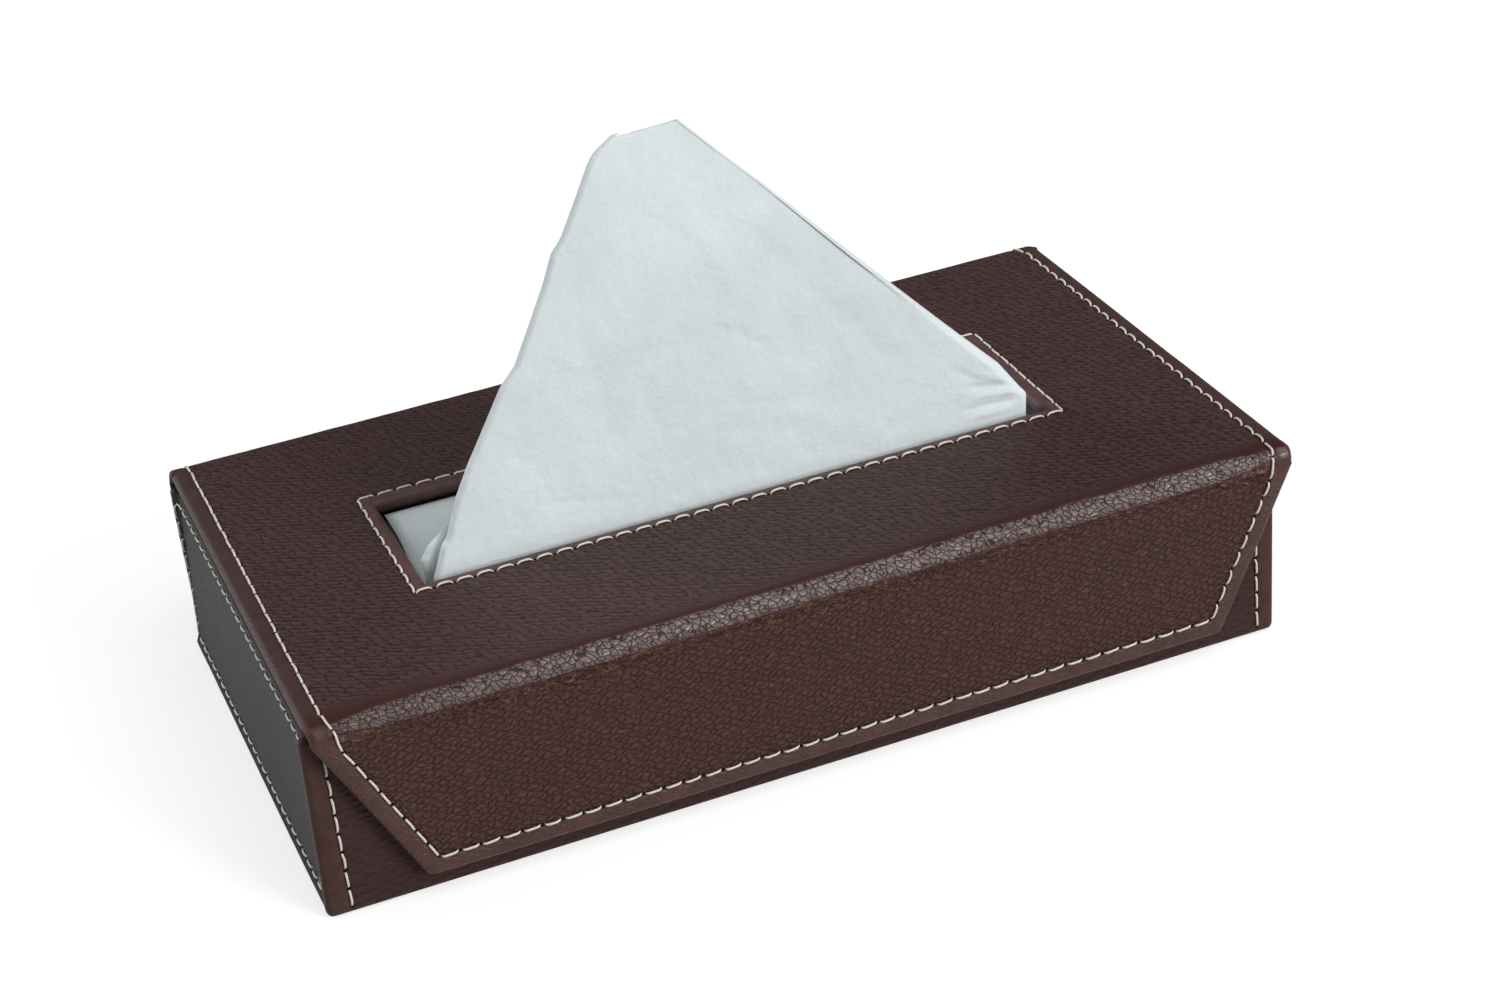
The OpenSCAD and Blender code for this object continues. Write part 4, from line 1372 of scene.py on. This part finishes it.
def make_world():
    world = bpy.data.worlds.new("studio")
    world.use_nodes = True
    background = world.node_tree.nodes["Background"].inputs
    background["Color"].default_value = (1, 1, 1, 1)
    background["Strength"].default_value = WORLD_LIGHT
    bpy.context.scene.world = world


def make_floor():
    mesh = bpy.data.meshes.new("floor")
    corners = [(x * FLOOR_HALF, y * FLOOR_HALF, 0) for x, y in ((-1, -1), (1, -1), (1, 1), (-1, 1))]
    mesh.from_pydata(corners, [], [(0, 1, 2, 3)])
    floor = bpy.data.objects.new("floor", mesh)
    floor.location.z = -FLOOR_DROP
    bpy.context.scene.collection.objects.link(floor)
    m = Shader("pale_floor")
    cloud = m.node("ShaderNodeTexNoise", {"Vector": m.place(), "Scale": 3.0}).outputs["Fac"]
    tone = m.mix(cloud, (0.5, 0.5, 0.5, 1), (0.53, 0.53, 0.53, 1))
    rays = m.node("ShaderNodeLightPath").outputs
    seen = m.maths("MAXIMUM", rays["Is Camera Ray"], rays["Is Glossy Ray"])
    seen = m.maths("MAXIMUM", seen, rays["Is Transmission Ray"])
    m.finish({"Base Color": tone, "Roughness": 0.9, "Specular IOR Level": 0.1,
              "Emission Color": (1, 1, 1, 1), "Emission Strength": m.times(seen, FLOOR_WHITE)})
    mesh.materials.append(m.material)


# Lamps: name, place and size in metres, and power in watts
LAMPS = [("overhead", (0.3, -0.9, 1.8), (1.5, 1.1), 14.0),
         ("front_right", (1.5, -2.4, 1.3), (1.4, 1.4), 66.0),
         ("left", (-2.0, 1.5, 1.05), (1.4, 1.2), 38.0)]
LAMP_AIM = (0.0, 0.0, 0.03)


def make_lamp(name, place, size, power):
    data = bpy.data.lights.new(name, "AREA")
    data.shape = "RECTANGLE"
    data.size, data.size_y = size
    data.energy = power
    lamp = bpy.data.objects.new(name, data)
    lamp.location = place
    lamp.rotation_mode = "QUATERNION"
    lamp.rotation_quaternion = (Vector(LAMP_AIM) - Vector(place)).to_track_quat("-Z", "Y")
    bpy.context.scene.collection.objects.link(lamp)


# Put everything together

LID_BROWN, LID_EDGE_BROWN = (0.074, 0.037, 0.035, 1), (0.066, 0.032, 0.029, 1)
FLAP_BROWN, FLAP_EDGE_BROWN = (0.067, 0.028, 0.020, 1), (0.082, 0.039, 0.031, 1)
TRAY_BROWN, TRAY_EDGE_BROWN = (0.046, 0.023, 0.021, 1), (0.066, 0.032, 0.027, 1)
END_GREY, END_EDGE_GREY = (0.040, 0.039, 0.041, 1), (0.033, 0.032, 0.033, 1)
# The slot rim's tone is the lid margin's reddish brown lightened with painted light, as the rim lies in shade
# in the slot
RIM_PAINTED_LIGHT_BROWN, WEAR_AND_SHEEN_BROWN = (0.108, 0.056, 0.053, 1), (0.138, 0.096, 0.090, 1)

lid_leather = leather("lid_leather", LID_BROWN, LID_EDGE_BROWN, (3.4, 1.7), angle=-28, valley=0.36,
                      gloss=0.23, relief=0.00035, wavy=0.35)
rim_leather = leather("rim_leather", LID_BROWN, RIM_PAINTED_LIGHT_BROWN, (3.4, 1.7), valley=0.6, rough=0.42)
flap_leather = leather("flap_leather", FLAP_BROWN, FLAP_EDGE_BROWN, (2.3, 1.5), angle=25, valley=0.77,
                       rough=0.36, gloss=0.18, relief=0.0007, wavy=0.15)
# The fold's pale bevel tone is real wear with a painted sheen
fold_leather = leather("fold_leather", LID_BROWN, FLAP_EDGE_BROWN, (3.2, 2.1), gloss=0.9, wear_and_sheen=WEAR_AND_SHEEN_BROWN)
tray_leather = leather("tray_leather", TRAY_BROWN, TRAY_EDGE_BROWN, (4.0, 2.0), angle=10, valley=0.75,
                       gloss=0.12)
end_leather = leather("end_leather", END_GREY, END_EDGE_GREY, (1.8, 1.5), valley=0.75, gloss=0.05,
                      relief=0.0001)
thread = thread_material()
lining = lining_material()
board = board_material()
magnet = magnet_material()
paper = tissue_material()


def add(piece, body, material, slot, *nodes):
    """Dresses a piece, lets it ride on its body and stand for its CAD nodes."""
    dress(piece, material)
    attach(piece, body)
    if nodes:
        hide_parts(*nodes)
    return piece


add(make_lid(), "lid", lid_leather, "leatherette", "lid_cover")
add(make_slot_rim(), "lid", rim_leather, "leatherette", "slot_binding")
add(make_flap(), "flap", flap_leather, "leatherette", "flap_cover")
add(make_tray(), "tray", tray_leather, "leatherette", "tray_wrap")
add(make_end("left_end_leather", to_left, 5.0), "tray", end_leather, "end_leatherette", "left_end_cover")
add(make_end("right_end_leather", to_right, 6.0), "tray", end_leather, "end_leatherette", "right_end_cover")

front_fold = make_front_fold()
dress(front_fold, fold_leather)
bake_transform(front_fold)
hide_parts("front_fold_strip")

back_hinge = make_back_hinge()
dress(back_hinge, lid_leather)
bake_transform(back_hinge)
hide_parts("back_hinge_strip")

hinge_thread = thread_piece("hinge_thread", hinge_seams(), on_hinge, 10)
dress(hinge_thread, thread)
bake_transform(hinge_thread)

fold_thread = thread_piece("fold_thread", fold_seams(), on_fold, 9)
dress(fold_thread, thread)
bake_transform(fold_thread)

for part, body, seams, place, seed in (
        ("lid", "lid", lid_end_seams, on_lid, 2),
        ("slot", "lid", slot_seams, on_lid, 3),
        ("flap", "flap", flap_seams(), on_wall(flap_face, -1), 4),
        ("front", "tray", wall_seams, on_wall(tray_low[1], -1), 5),
        ("back", "tray", wall_seams, on_wall(tray_high[1], 1), 6),
        ("left_end", "tray", end_seams, on_end(to_left), 7),
        ("right_end", "tray", end_seams, on_end(to_right), 8)):
    made = thread_piece(part + "_thread", seams, place, seed)
    add(made, body, thread, "thread", part + "_stitching")

tissue = add(make_tissue(), "tissue", paper, "tissue_paper", "pulled_tissue")
add(make_stack(), "tray", paper, "tissue_paper", "tissue_stack")

for name, node in frame["nodes"].items():
    if node.hide_render:
        continue
    finish = lining if "lining" in name else board if "board" in name else magnet
    node.data.materials.clear()
    node.data.materials.append(finish)

bpy.context.scene.view_settings.view_transform = "Standard"
make_camera()
make_world()
make_floor()
for lamp in LAMPS:
    make_lamp(*lamp)
